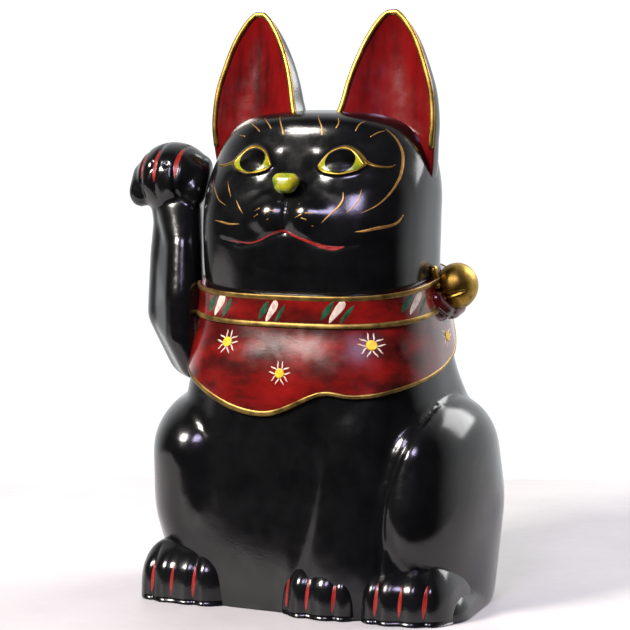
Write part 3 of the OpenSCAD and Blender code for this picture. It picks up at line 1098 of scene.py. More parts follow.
class Eye:
    """The almond outline of an eye, on the cat's left, as seen from the front."""
    low = ((11.2, 192.6), (13.6, 190.8), (17, 189.9), (21.4, 189.5), (25.4, 190.1), (28.6, 191.1),
           (31.4, 193.3))
    high = ((11.2, 192.6), (13, 195.6), (15.2, 198.4), (18, 200.1), (21.2, 200.9), (24.6, 200.1),
            (27.6, 198), (30.2, 195.3), (31.4, 193.3))
    tail = ((30.0, 195.6, 1.3), (32.8, 193.8, 1.3), (36.8, 192.6, 1.1), (40.6, 192.4, 0.8),
            (42.2, 193.5, 0.3))
    pupil = (20.9, 195.1)
    pupil_semi = (6.4, 5.0)
    # The eye's lids as fine samples, and the part of the face that can lie near them.
    low_lid = curve_through(low, 0.4)
    high_lid = curve_through(high, 0.4)
    near_x = (5, 42)
    near_z = (180, 212)
    far_off = -99

    @classmethod
    def depth_inside(cls, x: float, z: float) -> float:
        """Measures how far a point lies inside the almond.

        Args:
            x: The point's distance from the middle plane.
            z: Its height.

        Returns:
            The distance to the nearest lid, less than 0 outside the almond.
        """
        if not (cls.near_x[0] < x < cls.near_x[1] and cls.near_z[0] < z < cls.near_z[1]):
            return cls.far_off
        near = min(math.dist((x, z), p) for p in cls.low_lid + cls.high_lid)
        low = min(cls.low_lid, key=lambda p: abs(p[0] - x))[1]
        high = min(cls.high_lid, key=lambda p: abs(p[0] - x))[1]
        inside = low < z < high and cls.low[0][0] < x < cls.low[-1][0]
        return near if inside else -near


@dataclass
class Ears(SubAssembly):
    """Both ears: a hollow red front with a gold rim on a rounded black back."""
    outer: tuple[tuple[float, float, float], ...] = (
        (50.5, -8, 184), (52.6, -10.5, 193), (53.6, -12, 203), (54.1, -12, 212), (52.8, -11.3, 224),
        (49.4, -10.4, 235), (44.6, -9.4, 246.5), (38.8, -8.5, 255.2), (34.2, -8, 259.3))
    inner: tuple[tuple[float, float, float], ...] = (
        (3, -22, 196), (6, -20, 205), (8.2, -18.5, 212), (10.6, -16.6, 219), (13, -14.5, 229),
        (16, -12.6, 238), (20.4, -10.8, 247.5), (26, -9.2, 255.8), (30.4, -8, 259.5))
    rim: float = 1.7
    cup: float = 3.6
    depth: float = 19
    # How far the inner flank of the back leans in at the root.
    lean: float = 2.4
    # The gold rim's half width and half thickness, and how near the edge it runs.
    bead: tuple[float, float] = (1.2, 0.8)
    bead_across: float = 0.94

    def edges(self, share: float) -> tuple[Vector, Vector]:
        """Returns the inner and outer edge's points at a share of the way up the ear."""
        return tuple(along(line, share) for line in self.lines)

    def front(self, share: float, across: float) -> Vector:
        """Places a point of the hollow front.

        Args:
            share: The share of the way up the ear.
            across: The place across it, from -1 at the inner edge to 1 at the outer.

        Returns:
            The point.
        """
        inner, outer = self.edges(share)
        flat = 1 - across ** 2
        hollow = (self.cup + self.rim) * (1 - share ** 5) * flat ** 1.4
        return inner.lerp(outer, (across + 1) / 2) + Vector((0, hollow - self.rim * flat ** 0.25, 0))

    def back(self, share: float, across: float) -> Vector:
        """Places a point of the rounded back, which is deeper on the inner side.

        Args:
            share: The share of the way up the ear.
            across: The place across it, from -1 at the inner edge to 1 at the outer.

        Returns:
            The point.
        """
        inner, outer = self.edges(share)
        away = 1 - share
        deep = self.depth * lerp(0.66 * away ** 0.45, away ** 0.8, (1 - across) / 2) + self.rim * 0.6
        lean = -self.lean * away * (1 - across)
        return inner.lerp(outer, (across + 1) / 2) + Vector(
            (lean * (1 - across ** 2) ** 0.4, deep * (1 - across ** 4) ** 0.28, 0))

    def shape(self, share: float, angle: float, reach: float) -> Vector:
        """Returns a point of the ear's skin, front for a negative angle and back for the rest."""
        across = math.cos(angle) * reach
        return self.front(share, across) if angle < 0 else self.back(share, across)

    def rim_path(self) -> list[tuple[Vector, Vector]]:
        """Works out the path of the gold rim, from the outer root over the tip to the inner root.

        Returns:
            Each point of the path, with the outward normal there.
        """
        steps = 60
        up = [self.front(lerp(0.2, 1, k / steps), self.bead_across) for k in range(steps + 1)]
        down = [self.front(lerp(0.985, 0.27, k / steps), -self.bead_across) for k in range(steps + 1)]
        proud = Vector((0, -0.15, 0))
        return [(p + proud, Vector((0, -1, 0))) for p in up + down]

    def build(self) -> None:
        """Builds each ear, its red front and black back in one piece, and its rim."""
        self.lines = [curve_through(edge, 0.5) for edge in (self.inner, self.outer)]
        for name, side in (("left", 1), ("right", -1)):
            bm = bmesh.new()
            wrap_ball(bm, 90, 96, self.shape)
            bm.normal_update()
            for face in bm.faces:
                face.material_index = 1 if face.normal.y < -0.5 else 0
            self.turn(bm, side)
            self.keep(f"{name}_ear_cup", bm, [self.palette.lacquer, self.palette.ear_red],
                      f"{name}_ear", (f"{name}_ear",))
            bm = bmesh.new()
            sweep(bm, self.rim_path(), *self.bead)
            self.turn(bm, side)
            self.keep(f"{name}_ear_rim", bm, [self.palette.gold], f"{name}_ear")

    @staticmethod
    def turn(bm: bmesh.types.BMesh, side: int) -> None:
        """Mirrors a shape to the cat's right where it belongs there, with its faces outwards.

        Args:
            bm: The shape.
            side: 1 for the cat's left, -1 for its right.
        """
        if side < 0:
            bmesh.ops.scale(bm, vec=(-1, 1, 1), verts=bm.verts)
        bmesh.ops.recalc_face_normals(bm, faces=bm.faces)


@dataclass
class RaisedArm(SubAssembly):
    """The beckoning arm on the cat's right, with its round paw."""
    voxel: float = 0.9
    # Each link's middle and radius, from the elbow to the wrist: the core, and the flesh of the
    # forearm's inner side, which comes forward over the ends of the collar and bib.
    core: tuple[tuple[tuple[float, float, float], float], ...] = (
        ((-53, -1, 101), 13), ((-64.5, -8, 108), 14), ((-70.5, -15, 126), 14),
        ((-70.5, -14, 151), 13.3), ((-71.5, -11, 166), 12.4), ((-73.3, -11, 180), 12.5))
    flesh: tuple[tuple[tuple[float, float, float], float], ...] = (
        ((-56, -26, 103), 7), ((-59.5, -30, 116), 8.5), ((-60, -29.5, 134), 9),
        ((-62, -25, 156), 8.5), ((-66, -17, 174), 8))
    paw: tuple[float, float, float] = (-73.2, -13, 186)
    palm_semi: tuple[float, float, float] = (18, 16.5, 16.6)
    # The toes' places beside the paw's middle, and how much the outer ones hang back.
    toes: tuple[float, ...] = (-14.2, -5, 5, 13.6)
    toe_bend: float = 0.026
    # The clefts between the toes, with the width, top and foot of the claw painted in each.
    clefts: tuple[float, ...] = (-84, -75.5, -65.5)
    claw_w: tuple[float, ...] = (1, 2.2, 2.2)
    claw_top: tuple[float, ...] = (198, 198.5, 199.5)
    claw_foot: tuple[float, ...] = (186, 184.5, 186.5)

    def limb(self, bm: bmesh.types.BMesh) -> None:
        """Adds the core of the arm and the flesh over it.

        Args:
            bm: The mesh that gains them.
        """
        core, flesh = self.core, self.flesh
        for (a, ra), (b, rb) in zip(core, core[1:]):
            add_hull(bm, [(a, (ra, ra, ra)), (b, (rb, rb, rb))])
        for (a, ra), (b, rb), (c, rc), (d, rd) in zip(flesh, flesh[1:], core[1:], core[2:]):
            add_hull(bm, [(a, (ra, ra, ra)), (b, (rb, rb, rb)),
                          (c, (rc - 1, rc - 1, rc - 1)), (d, (rd - 1, rd - 1, rd - 1))])

    def hand(self, bm: bmesh.types.BMesh) -> None:
        """Adds the round palm and its toes, each curled from its tip over the knuckle.

        Args:
            bm: The mesh that gains them.
        """
        x, y, z = self.paw
        ellipsoid(bm, self.paw, self.palm_semi, 64)
        for toe in self.toes:
            bend = self.toe_bend * toe ** 2
            add_hull(bm, [((x + toe, y - 11.5 + bend, z - 1 - bend), (5.6, 5.6, 7)),
                          ((x + toe, y - 7.5 + bend, z + 7 - bend), (5.6, 6, 5.6)),
                          ((x + toe * 0.9, y + 2, z + 10.3 - bend), (5.6, 6, 5.6))])

    def build(self) -> None:
        """Builds the arm and paints its claws."""
        bm = bmesh.new()
        self.limb(bm)
        self.hand(bm)
        bm = fuse(bm, self.voxel)
        soften(bm, 8)
        for cleft in self.clefts:
            Groove(((cleft, 203, 3.4), (cleft, 196, 4.2), (cleft, 186, 4), (cleft + 0.5, 178, 2.6)),
                   0.8).press(bm)
        soften(bm, 1)
        canvas = Canvas(skin_tree(bm))
        self.keep("forearm_and_paw", bm, [self.palette.lacquer], "raised_arm", ("raised_arm",))
        bm = bmesh.new()
        for cleft, width, top, foot in zip(self.clefts, self.claw_w, self.claw_top, self.claw_foot):
            lay_stroke(bm, canvas, [(cleft, top, 0.8), (cleft, lerp(foot, top, 0.7), width),
                                    (cleft, lerp(foot, top, 0.3), width), (cleft, foot, 0.5)])
        self.keep("raised_paw_claws", bm, [self.palette.claw_red], "raised_arm")


@dataclass(frozen=True)
class FootSizes:
    """One paw on the floor, in millimetres.

    Attributes:
        name: The CAD node's name.
        middle: Where its middle lies across the figure.
        width: Its width.
        height: Its height.
        front: How far forward its toes reach.
        splay: How far it draws back for each millimetre towards the cat's left.
        clefts: Where the clefts between its toes lie across the figure.
    """
    name: str
    middle: float
    width: float
    height: float
    front: float
    splay: float
    clefts: tuple[float, ...]


@dataclass
class Feet(SubAssembly):
    """The two hind feet and the planted forepaw, each a rounded block with shallow clefts."""
    paws: tuple[FootSizes, ...] = (
        FootSizes("left_hind_foot", 54.5, 40, 26, 53.5, 0.2, (44.8, 55.4, 65.4)),
        FootSizes("right_hind_foot", -50, 47, 27, 56.5, 0.0, (-62.6, -52.2, -41.6)),
        FootSizes("planted_paw", 16.8, 39, 26, 57.5, 0.0, (3.4, 14, 26.2)),
    )
    half_depth: float = 24
    # How square a paw is, 2 for round: from level to level, across, front to back, and upwards.
    square: tuple[float, float, float, float] = (3.4, 3.6, 3.2, 3.0)
    cleft_depth: float = 1.8
    # How far the front draws back: at the top of the instep, and all over.
    instep_back: float = 2.4
    front_back: float = 0.8

    def paw(self, foot: FootSizes) -> bmesh.types.BMesh:
        """Makes the shape of one paw, flat on the floor.

        Args:
            foot: The paw's sizes.

        Returns:
            Its mesh.
        """
        bm = bmesh.new()
        deep = self.half_depth
        levels, across, along_y, upwards = self.square
        pitch = (foot.clefts[2] - foot.clefts[0]) / 2

        def place(share: float, angle: float, reach: float) -> Vector:
            """Places a point of the paw's skin.

            Args:
                share: The share of the way up the whole lump, half of which is below the floor.
                angle: The angle round it.
                reach: 0 at either end point, and 1 elsewhere.

            Returns:
                The point.
            """
            up = math.sin((share - 0.5) * math.pi)
            level = math.cos((share - 0.5) * math.pi) ** (2 / levels) * reach
            x = foot.width / 2 * level * signed_power(math.cos(angle), 2 / across)
            y = deep * level * signed_power(math.sin(angle), 2 / along_y)
            z = foot.height * signed_power(up, 2 / upwards)
            nearest = min(abs(foot.middle + x - c) for c in foot.clefts)
            lobe = (1 - min(nearest / (pitch / 2), 1)) ** 2
            # The clefts and the slope fade out towards the back, and the clefts near the top.
            front = ease((-y / deep - 0.35) / 0.4)
            low = ease((0.99 - z / foot.height) / 0.3)
            press = self.cleft_depth * lobe * front * low
            instep = self.instep_back * ease((z / foot.height - 0.5) / 0.5)
            slope = (instep + self.front_back) * front + foot.splay * x
            return Vector((foot.middle + x, y + deep - foot.front + press + slope, max(z, -1)))

        wrap_ball(bm, 110, 168, place)
        cut_at_floor(bm)
        bmesh.ops.holes_fill(bm, edges=bm.edges, sides=0)
        return bm

    def build(self) -> None:
        """Builds each paw and paints its claws."""
        for foot in self.paws:
            bm = self.paw(foot)
            canvas = Canvas(skin_tree(bm))
            self.keep(f"{foot.name}_block", bm, [self.palette.lacquer], foot.name, (foot.name,),
                      mend=True)
            bm = bmesh.new()
            for cleft in foot.clefts:
                lay_stroke(bm, canvas, [(cleft, 16.8, 0.5), (cleft, 13, 1.6), (cleft - 0.2, 8, 1.8),
                                        (cleft - 0.5, 3.2, 0.5)], crown=0.25)
            self.keep(f"{foot.name}_claws", bm, [self.palette.claw_red], foot.name)


@dataclass
class Tail(SubAssembly):
    """The short tail that lies curled up the back."""
    voxel: float = 0.9
    links: int = 8
    root_r: float = 8.5
    tip_r: float = 5.5
    # The root's distance behind the middle, the outward bow, the root's height and the tip's rise.
    behind: float = 50
    bow: float = 1.5
    root_h: float = 9.5
    tip_rise: float = 21.5

    def build(self) -> None:
        """Builds the tail."""
        low, high = (Vector(c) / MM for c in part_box("tail"))
        bm = bmesh.new()
        lumps = []
        for k in range(self.links + 1):
            t = k / self.links
            r = lerp(self.root_r, self.tip_r, t)
            x = lerp(low.x + self.root_r, high.x - self.tip_r, t)
            y = self.behind + self.bow * math.sin(math.pi * t)
            lumps.append(((x, y, self.root_h + self.tip_rise * t * t), (r, r, r)))
        for pair in zip(lumps, lumps[1:]):
            add_hull(bm, pair, 40)
        bm = fuse(bm, self.voxel)
        soften(bm, 8)
        cut_at_floor(bm, 0.2)
        bmesh.ops.holes_fill(bm, edges=bm.edges, sides=0)
        self.keep("tail_curl", bm, [self.palette.lacquer], "tail", ("tail",), mend=True)


@dataclass
class Collar(SubAssembly):
    """The red collar band, its gold edges and its painted buds."""
    buds: tuple[float, ...] = (-66, -34.6, -7.3, 25, 57.8, 90)
    # How far forward of the middle the band's front lies.
    front: float = 50
    # Each gold edge's place in from the band's edge, its half height and its half thickness.
    edge_in: float = 0.9
    edge_half_h: float = 1.1
    edge_half_t: float = 0.55

    def level(self, y: float) -> float:
        """Returns the height of the band's middle where it passes a distance y back."""
        s = self.sizes
        return (s.collar_top + s.collar_low) / 2 + y * math.tan(math.radians(s.collar_slope))

    def band(self, bm: bmesh.types.BMesh, middle: float, half_h: float, out: float,
             half_t: float, square: float) -> None:
        """Adds a ring round the neck.

        Args:
            bm: The mesh that gains it.
            middle: How far the ring's middle lies above the collar's middle.
            half_h: Half the ring's height.
            out: How far its middle stands out from the neck.
            half_t: Half its thickness.
            square: How square its section is, 2 for round.
        """
        # A plain ring is spun first. Its section's angle and its turn then place each point.
        start = 10
        ring = bmesh.ops.create_circle(bm, segments=28, radius=1,
                                       matrix=Matrix.Translation((start, 0, 0))
                                       @ Matrix.Rotation(math.pi / 2, 4, "X"))
        edges = list({e for v in ring["verts"] for e in v.link_edges})
        first = set(bm.verts) - set(ring["verts"])
        bmesh.ops.spin(bm, geom=ring["verts"] + edges, cent=(0, 0, 0), axis=(0, 0, 1),
                       angle=2 * math.pi, steps=200, use_merge=True)
        for v in set(bm.verts) - first:
            turn = math.atan2(v.co.y, v.co.x)
            part = math.atan2(v.co.z, v.co.xy.length - start)
            grow = out + half_t * signed_power(math.cos(part), 2 / square)
            rise = middle + half_h * signed_power(math.sin(part), 2 / square)
            near = self.profile.at(self.sizes.jaw_h - 8).point(turn)
            v.co = self.profile.at(self.level(near.y) + rise).point(turn, grow)

    def build(self) -> None:
        """Builds the band, then its edges and buds."""
        s = self.sizes
        bm = bmesh.new()
        self.band(bm, 0, s.collar_h / 2, s.collar_t / 2, s.collar_t / 2 + 0.2, 5)
        bmesh.ops.recalc_face_normals(bm, faces=bm.faces)
        canvas = Canvas(skin_tree(bm), Aim.ROUND)
        self.keep("collar_band", bm, [self.palette.red], "collar", ("collar",))
        bm = bmesh.new()
        for middle in (s.collar_h / 2 - self.edge_in, self.edge_in - s.collar_h / 2):
            self.band(bm, middle, self.edge_half_h, s.collar_t, self.edge_half_t, 2.4)
        # The gold edges take the darker copy of the gold, which is painted shade.
        self.keep("collar_gold_edges", bm, [self.palette.gold_in_painted_shade], "collar", mend=True)
        self.paint_buds(canvas)

    def paint_buds(self, canvas: Canvas) -> None:
        """Paints the slanted white buds, each between two green leaves.

        Args:
            canvas: The band's skin.
        """
        white, leaf = bmesh.new(), bmesh.new()
        for u in self.buds:
            angle = u / canvas.radius
            z = self.level(-self.front * math.cos(angle))
            lay_stroke(white, canvas, [(u - 3.2, z - 4.6, 0.4), (u - 2.3, z - 2.8, 2.2),
                                       (u - 0.2, z + 0.2, 3.6), (u + 1.7, z + 2.8, 4.2),
                                       (u + 2.6, z + 4.3, 3.2), (u + 3, z + 5, 1.4)], crown=0.15)
            for side, width, rise in ((-1, 3.4, 0.6), (1, 2.3, -0.8)):
                m, v = u + side * 4.2, z + rise
                lay_stroke(leaf, canvas, [(m - 2.9, v - 4.2, 0.4), (m - 1, v - 1.2, width),
                                          (m + 1.1, v + 1.6, width), (m + 2.9, v + 4.2, 0.5)],
                           crown=0.12)
        self.keep("collar_white_buds", white, [self.palette.cream], "collar")
        self.keep("collar_green_leaves", leaf, [self.palette.green], "collar")


@dataclass
class Bib(SubAssembly):
    """The red bib over the breast and the standing foreleg, with a gold edge and flowers."""
    edge: tuple[tuple[float, float], ...] = (
        (-62, 131), (-61.5, 122), (-60.5, 113), (-57.5, 106.5), (-50.5, 101.6), (-41.5, 96.8),
        (-33.9, 92.6), (-25.4, 88.9), (-17.3, 87), (-10, 86.6), (-3, 87.8), (4, 90.4), (10.6, 93.4),
        (16.6, 96), (22.6, 96.8), (30.6, 95.7), (37.9, 96.2), (45.2, 98), (53.7, 100.6),
        (64.6, 104), (76, 107.4), (86, 111.4), (93, 117), (96.5, 126), (98, 134))
    flowers: tuple[tuple[float, float], ...] = ((-29, 116.2), (-0.8, 104.3), (38.8, 117.4), (80, 119))
    # How far forward the breast lies, and how far the sheet's top is tucked up under the collar.
    front: float = 49
    tuck: float = 1.2
    # The gold edge's half width and half thickness. It is widest at the low point on the cat's right.
    bead: tuple[float, float] = (1.15, 1.4)
    petals: int = 5
    dab: float = 2.1

    def build(self, torso: BVHTree, collar: Collar) -> None:
        """Builds the bib on the torso, then its edge and flowers.

        Args:
            torso: The torso's skin.
            collar: The collar, under which the bib's top is tucked.
        """
        canvas = Canvas(torso, Aim.ROUND)
        ends = self.edge[0][0], self.edge[-1][0]
        steps = 24
        top = []
        for k in range(steps + 1):
            u = lerp(*ends, k / steps)
            y = -self.front * math.cos(u / canvas.radius)
            top.append((u, collar.level(y) - self.sizes.collar_h / 2 + self.tuck))
        low = [(top[0][0], top[0][1]), *self.edge[1:-1], (top[-1][0], top[-1][1])]
        bm = bmesh.new()
        lay_patch(bm, canvas, low, top, self.sizes.bib_t, rows=40, step=1.0)
        bm.normal_update()
        skin = Canvas(skin_tree(bm), Aim.ROUND)
        self.keep("bib_sheet", bm, [self.palette.red], "bib", ("bib",))
        path = []
        for u, z in resample(low, 260):
            place, normal = canvas.hit(u, z)
            path.append((place + normal * (self.sizes.bib_t * 0.5), normal))
        bm = bmesh.new()
        sweep(bm, path, *self.bead, lambda share: 1 + 0.55 * math.exp(-((share - 0.28) / 0.14) ** 2))
        # The gold edge takes the darker copy of the gold, which is painted shade.
        self.keep("bib_gold_edge", bm, [self.palette.gold_in_painted_shade], "bib", mend=True)
        self.paint_flowers(skin)

    def paint_flowers(self, canvas: Canvas) -> None:
        """Paints each flower: a yellow middle and its petals, each a pair of forked strokes.

        Args:
            canvas: The sheet's skin.
        """
        petals, middles = bmesh.new(), bmesh.new()
        for u, z in self.flowers:
            for k in range(self.petals):
                turn = math.radians(360 / self.petals * k - 90)
                for side in (-1, 1):
                    fork = [(1.9, turn + side * 0.12, 0.4), (3.2, turn + side * 0.26, 0.75),
                            (4.6, turn + side * 0.4, 0.6), (5.5, turn + side * 0.38, 0.2)]
                    lay_stroke(petals, canvas, [(u + r * math.cos(a), z + r * math.sin(a), w)
                                                for r, a, w in fork], crown=0.2, step=0.5)
            arc = [math.radians(12 * k) for k in range(16)]
            low, high = ([(u - self.dab * math.cos(a), z + way * self.dab * math.sin(a)) for a in arc]
                         for way in (-1, 1))
            lay_patch(middles, canvas, low, high, 0.3, rows=8, step=0.4)
        self.keep("bib_petals", petals, [self.palette.cream], "bib")
        self.keep("bib_flower_middles", middles, [self.palette.yellow], "bib")


@dataclass
class Bell(SubAssembly):
    """The gold bell at the cat's left, its boss, and the red knot that carries it."""
    out: float = 60
    half_w: float = 9.3
    half_h: float = 10.3
    # The share by which the bell is narrower at its foot.
    taper: float = 0.1

    def build(self) -> None:
        """Builds the bell, its boss and the knot."""
        self.bell()
        self.boss()
        self.knot()

    def bell(self) -> None:
        """Builds the bell, with its slit."""
        low, high = (Vector(c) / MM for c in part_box("bell"))
        middle = Vector((self.out, (low.y + high.y) / 2, (low.z + high.z) / 2 - 0.5))
        bm = bmesh.new()

        def place(share: float, angle: float, reach: float) -> Vector:
            """Places a point of the bell, which narrows a little to its foot.

            Args:
                share: The share of the way up.
                angle: The angle round it.
                reach: 0 at either end point, and 1 elsewhere.

            Returns:
                The point.
            """
            up = math.sin((share - 0.5) * math.pi)
            level = math.cos((share - 0.5) * math.pi) * reach
            wide = self.half_w * level * (1 - self.taper * max(-up, 0) ** 1.5)
            return middle + Vector((wide * math.cos(angle), wide * math.sin(angle), self.half_h * up))

        wrap_ball(bm, 96, 120, place)
        slit = Groove(((54.5, 135.6, 1.2), (57.5, 136.2, 2.2), (62, 137.6, 2.4), (66, 139, 1.4)), 0.9)
        slit.press(bm)
        self.keep("bell_body", bm, [self.palette.gold], "bell", ("bell",))

    def boss(self) -> None:
        """Builds the boss: a leaf-shaped lump with a small ball under it."""
        bm = bmesh.new()
        add_hull(bm, [((52.6, -9, 147.6), (1.7, 2.2, 2.4)), ((53.2, -8.4, 144.5), (1.6, 1.8, 1.6))], 28)
        ellipsoid(bm, (54.4, -9.2, 141), (1.5, 1.5, 1.5), 24)
        bm = fuse(bm, 0.4)
        soften(bm, 4)
        self.keep("bell_boss", bm, [self.palette.gold], "bell")

    def knot(self) -> None:
        """Builds the knot's coil of three lumps under the bell."""
        bm = bmesh.new()
        add_hull(bm, [((54.2, -8.5, 134.5), (3.4, 4, 4.6)), ((56.4, -4.5, 130.6), (4, 4.4, 4))], 40)
        add_hull(bm, [((57.8, -1, 129.4), (4.2, 4.8, 3.5)), ((60, 2.5, 131.6), (3.2, 3.8, 3.8))], 40)
        ellipsoid(bm, (55.2, 6.5, 132), (4.4, 5.8, 5), 40)
        bm = fuse(bm, 0.5)
        soften(bm, 4)
        self.keep("knot_coil", bm, [self.palette.red], "collar_knot", ("collar_knot",))


@dataclass
class Face(SubAssembly):
    """The nose and everything painted on the face."""
    # Strokes as x, z and width. The two sides are drawn freehand, so they differ a little.
    whiskers: tuple[tuple[tuple[float, float, float], ...], ...] = (
        ((24.6, 182, 0.4), (25.1, 179.1, 0.8), (23.8, 176.1, 1), (21.2, 173.2, 0.9),
         (16.8, 168.5, 0.3)),
        ((32.1, 183.7, 0.3), (31.7, 179.6, 0.7), (30.1, 176.2, 0.7), (26.7, 172.8, 0.3)),
        ((35.3, 208.7, 0.4), (39.7, 204.9, 0.7), (43, 199.8, 0.9), (44.5, 194.3, 1.1),
         (44.9, 188.8, 1.1), (43.9, 183.8, 1), (41.5, 179.2, 0.9), (38, 175.8, 0.7),
         (32.5, 172.9, 0.3)),
        ((47.8, 172.4, 0.4), (46.5, 169.5, 1), (44.1, 167.9, 1.4), (40, 167, 1.7), (35.2, 165.8, 1.2),
         (30.9, 165.3, 0.3)),
        ((-25.5, 177.8, 0.4), (-23.4, 174.8, 0.7), (-20.8, 171.9, 0.3)),
        ((-32.8, 186.2, 0.3), (-30.4, 182, 0.7), (-28.5, 178.6, 0.3)),
        ((-42.8, 186, 0.4), (-39.3, 181.7, 0.7), (-35.4, 177.5, 0.7), (-30.1, 175.1, 0.3)),
        ((-37.3, 168.8, 0.3), (-32.1, 168.1, 0.9), (-27.5, 167.4, 1), (-22.1, 167.6, 0.3)),
    )
    ticks: tuple[tuple[tuple[float, float, float], ...], ...] = (
        ((5, 214.6, 0.5), (8.6, 210, 0.8), (9.6, 206, 1.1)),
        ((14.6, 213.6, 0.4), (16, 211.3, 0.8), (15.3, 208.9, 0.8)),
        ((26.6, 212, 0.4), (24.8, 210.7, 0.8), (23.9, 207.7, 0.7)),
        ((35.6, 208, 0.3), (33, 207.2, 0.7), (30.4, 205.3, 0.6)),
        ((-13.4, 214, 0.5), (-10.8, 210.2, 0.8), (-8.9, 206.1, 1.1)),
        ((-21.4, 213.2, 0.4), (-17.6, 210.7, 0.7), (-15.6, 208.6, 0.6)),
        ((-28.6, 211.2, 0.4), (-24, 209.1, 0.7), (-21.6, 207.4, 0.6)),
        ((-35, 206, 0.3), (-29.3, 205.3, 0.6)),
    )
    dashes: tuple[tuple[tuple[float, float, float], ...], ...] = (
        ((-14.1, 173.4, 0.4), (-11.5, 174.8, 0.7)), ((-14.4, 170.8, 0.4), (-12.1, 172.2, 0.7)),
        ((-8.9, 172.3, 0.5), (-7.6, 173.2, 0.6)), ((-6.4, 174, 0.7), (-3.2, 173.6, 0.5)),
        ((-7.9, 169.8, 0.4), (-6.6, 170.2, 0.6)), ((5.8, 174.3, 0.5), (8.7, 174.3, 0.8)),
        ((5.6, 170.9, 0.4), (9, 172.7, 0.7)), ((10.2, 173.1, 0.7), (13.9, 173.1, 0.7)),
        ((8.6, 171, 0.6), (11.3, 170.2, 0.6)), ((13.2, 167.6, 0.5), (14, 167.6, 0.6)),
    )

    # One long stroke along the mouth.
    mouth: tuple[tuple[float, float, float], ...] = (
        (-28, 160.2, 0.4), (-22.2, 159.8, 0.8), (-17.1, 159.5, 0.9), (-12.1, 160.9, 0.9),
        (-7.2, 163.2, 1), (-1.4, 165.1, 1.2), (2, 164.2, 1.2), (6.8, 162.3, 1.3),
        (11.4, 160.7, 1.5), (15.9, 159.2, 1.9), (20.3, 158.2, 2.2), (24, 158.4, 1.7),
        (26.8, 159, 0.4))
    # The outline's width at each point of the upper and the lower lid.
    upper_w: tuple[float, ...] = (0.6, 0.8, 1, 1.1, 1.2, 1.4, 1.7, 1.8, 1.2)
    lower_w: tuple[float, ...] = (0.6, 0.8, 0.9, 0.9, 0.9, 0.9, 0.9)

    def build(self, head: BVHTree) -> None:
        """Builds the nose and paints the face on the head's skin.

        Args:
            head: The head's skin.
        """
        canvas = Canvas(head)
        self.nose()
        self.paint_eyes(canvas)
        gold = bmesh.new()
        for stroke in self.whiskers + self.ticks + self.dashes:
            lay_stroke(gold, canvas, stroke, crown=0.15)
        self.keep("face_gold_lines", gold, [self.palette.line_gold], "front_shell", mend=True)
        lips = bmesh.new()
        lay_stroke(lips, canvas, self.mouth, crown=0.15)
        self.keep("lips", lips, [self.palette.claw_red], "front_shell", mend=True)

    def nose(self) -> None:
        """Builds the nose, a rounded button that is a little narrower below."""
        bm = bmesh.new()
        upper, lower = (3.8, 3.6, 3.3), (3.6, 3.6, 3.3)
        add_hull(bm, [((-2.4, -48.4, 186.6), upper), ((2.4, -48.4, 186.6), upper),
                      ((-1.4, -48.8, 184.4), lower), ((1.4, -48.8, 184.4), lower)], 40)
        bm = fuse(bm, 0.45)
        soften(bm, 5)
        self.keep("nose_button", bm, [self.palette.eye_green], "nose", ("nose",))

    def paint_eyes(self, canvas: Canvas) -> None:
        """Paints each eye: yellow-green, a wide black pupil and a gold outline.

        Args:
            canvas: The head's skin.
        """
        iris, pupil, rim = bmesh.new(), bmesh.new(), bmesh.new()
        (x0, z0), (half_x, half_z) = Eye.pupil, Eye.pupil_semi
        for side in (1, -1):
            lay_patch(iris, canvas, [(side * x, z) for x, z in Eye.low],
                      [(side * x, z) for x, z in Eye.high], 0.1, rows=16)
            arc = [math.radians(9 * k) for k in range(21)]
            low, high = ([(side * (x0 - half_x * math.cos(a)), z0 + way * half_z * math.sin(a))
                          for a in arc] for way in (-1, 1))
            lay_patch(pupil, canvas, low, high, 0.25, rows=20)
            upper = [(x, z, w) for (x, z), w in zip(Eye.high, self.upper_w)]
            lower = [(x, z, w) for (x, z), w in zip(Eye.low, self.lower_w)]
            for stroke in (upper, lower, Eye.tail):
                lay_stroke(rim, canvas, [(side * x, z, w) for x, z, w in stroke], crown=0.3, lift=0.25)
        self.keep("eye_iris", iris, [self.palette.eye_green], "front_shell", mend=True)
        self.keep("eye_pupils", pupil, [self.palette.pupil], "front_shell", mend=True)
        self.keep("eye_gold_outline", rim, [self.palette.gold], "front_shell", mend=True)


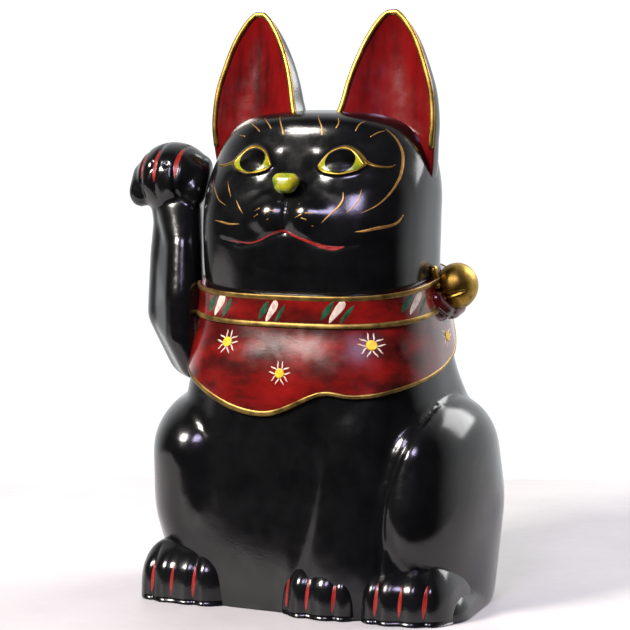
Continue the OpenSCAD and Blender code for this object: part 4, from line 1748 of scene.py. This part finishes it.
@dataclass(frozen=True)
class Studio:
    """The camera, floor and soft lights."""
    camera_at: tuple[float, float, float] = (382.7, -839.6, 206.5)
    heading: float = 24.984
    pitch: float = -5.03
    roll: float = 0.26
    lens: float = 117.66
    # The floor board's depth and how far it runs in front of the figure, in metres.
    board: float = 0.42
    board_front: float = 0.115
    # How many times as wide as deep the board is, and how far its face lies under the feet.
    board_long: float = 5.0
    board_gap: float = 0.0004
    # The height that the lamps look at, in metres.
    aim_h: float = 0.13
    # The room's brightness in front of the figure and behind it.
    room: tuple[float, float] = (0.03, 1.15)

    def build(self) -> None:
        """Sets up the studio."""
        self.camera()
        self.floor()
        self.lights()
        self.surroundings()

    def camera(self) -> None:
        """Places the camera."""
        lens = bpy.data.cameras.new("camera")
        lens.lens = self.lens
        lens.sensor_width = 36
        lens.clip_start = 0.05
        camera = bpy.data.objects.new("camera", lens)
        turn = (Matrix.Rotation(math.radians(self.heading), 4, "Z")
                @ Matrix.Rotation(math.radians(90 + self.pitch), 4, "X")
                @ Matrix.Rotation(math.radians(self.roll), 4, "Z"))
        camera.matrix_world = Matrix.Translation(Vector(self.camera_at) * MM) @ turn
        bpy.context.scene.collection.objects.link(camera)
        bpy.context.scene.camera = camera

    def floor(self) -> None:
        """Lays a plain pale floor under the figure."""
        bm = bmesh.new()
        bmesh.ops.create_grid(bm, x_segments=1, y_segments=1, size=self.board / 2)
        bmesh.ops.scale(bm, vec=(self.board_long, 1, 1), verts=bm.verts)
        bmesh.ops.translate(bm, vec=(0, self.board / 2 - self.board_front, -self.board_gap),
                            verts=bm.verts)
        bmesh.ops.rotate(bm, cent=(0, 0, 0), verts=bm.verts,
                         matrix=Matrix.Rotation(math.radians(self.heading), 3, "Z"))
        mesh = bpy.data.meshes.new("floor")
        bm.to_mesh(mesh)
        bm.free()
        mesh.materials.append(Paint(
            "pale_painted_board", ((0.3, "#c6c1c2"), (0.7, "#d4d0d0")), 120,
            gloss=(0.45, 0.6), grit_height_mm=0.0).build())
        floor = bpy.data.objects.new("floor", mesh)
        bpy.context.scene.collection.objects.link(floor)

    def lamp(self, name: str, at: tuple[float, float, float], size: float, power: float,
             colour: str) -> None:
        """Hangs one soft lamp that looks at the figure's middle.

        Args:
            name: The lamp's name.
            at: Its place in metres.
            size: The side of its square face in metres.
            power: Its power in watts.
            colour: The hex colour of its light.
        """
        light = bpy.data.lights.new(name, "AREA")
        light.shape = "SQUARE"
        light.size = size
        light.energy = power
        light.color = linear(colour)[:3]
        lamp = bpy.data.objects.new(name, light)
        way = Vector((0, 0, self.aim_h)) - Vector(at)
        lamp.matrix_world = Matrix.Translation(at) @ way.to_track_quat("-Z", "Y").to_matrix().to_4x4()
        bpy.context.scene.collection.objects.link(lamp)

    def lights(self) -> None:
        """Hangs the key lamp, a weaker cool one and a back lamp."""
        self.lamp("key", (-0.55, -1.05, 0.85), 0.32, 32, "#fffaf2")
        self.lamp("second", (0.2, -1.15, 0.9), 0.3, 8, "#ddd0ff")
        self.lamp("back", (0.7, 0.8, 0.9), 0.8, 15, "#ffffff")

    def surroundings(self) -> None:
        """Makes the room bright behind the figure and dim in front, shown without a film curve."""
        bpy.context.scene.view_settings.view_transform = "Standard"
        world = bpy.data.worlds.new("room")
        bpy.context.scene.world = world
        world.use_nodes = True
        tree = world.node_tree
        sight = add_node(tree, "ShaderNodeTexCoord").outputs["Generated"]
        parts = add_node(tree, "ShaderNodeSeparateXYZ", {"Vector": sight})
        bright = add_node(tree, "ShaderNodeMapRange", {
            "Value": parts.outputs["Y"], "From Min": -0.15, "From Max": 0.45,
            "To Min": self.room[0], "To Max": self.room[1]})
        back = tree.nodes["Background"]
        back.inputs["Color"].default_value = linear("#f4f6f8")
        tree.links.new(bright.outputs["Result"], back.inputs["Strength"])


def main() -> None:
    """Builds the figure, piece by piece, then the studio round it."""
    logging.basicConfig(level=logging.INFO, format="%(name)s: %(message)s")
    sizes = CatSizes()
    Studio().build()
    common = (sizes, BodyProfile(sizes), Palette())
    torso = Torso(*common)
    torso.build()
    BasePlate(*common).dress()
    head = Head(*common)
    head.build()
    Face(*common).build(head.tree)
    Ears(*common).build()
    RaisedArm(*common).build()
    Feet(*common).build()
    Tail(*common).build()
    collar = Collar(*common)
    collar.build()
    Bib(*common).build(torso.tree, collar)
    Bell(*common).build()


if __name__ == "__main__":
    main()
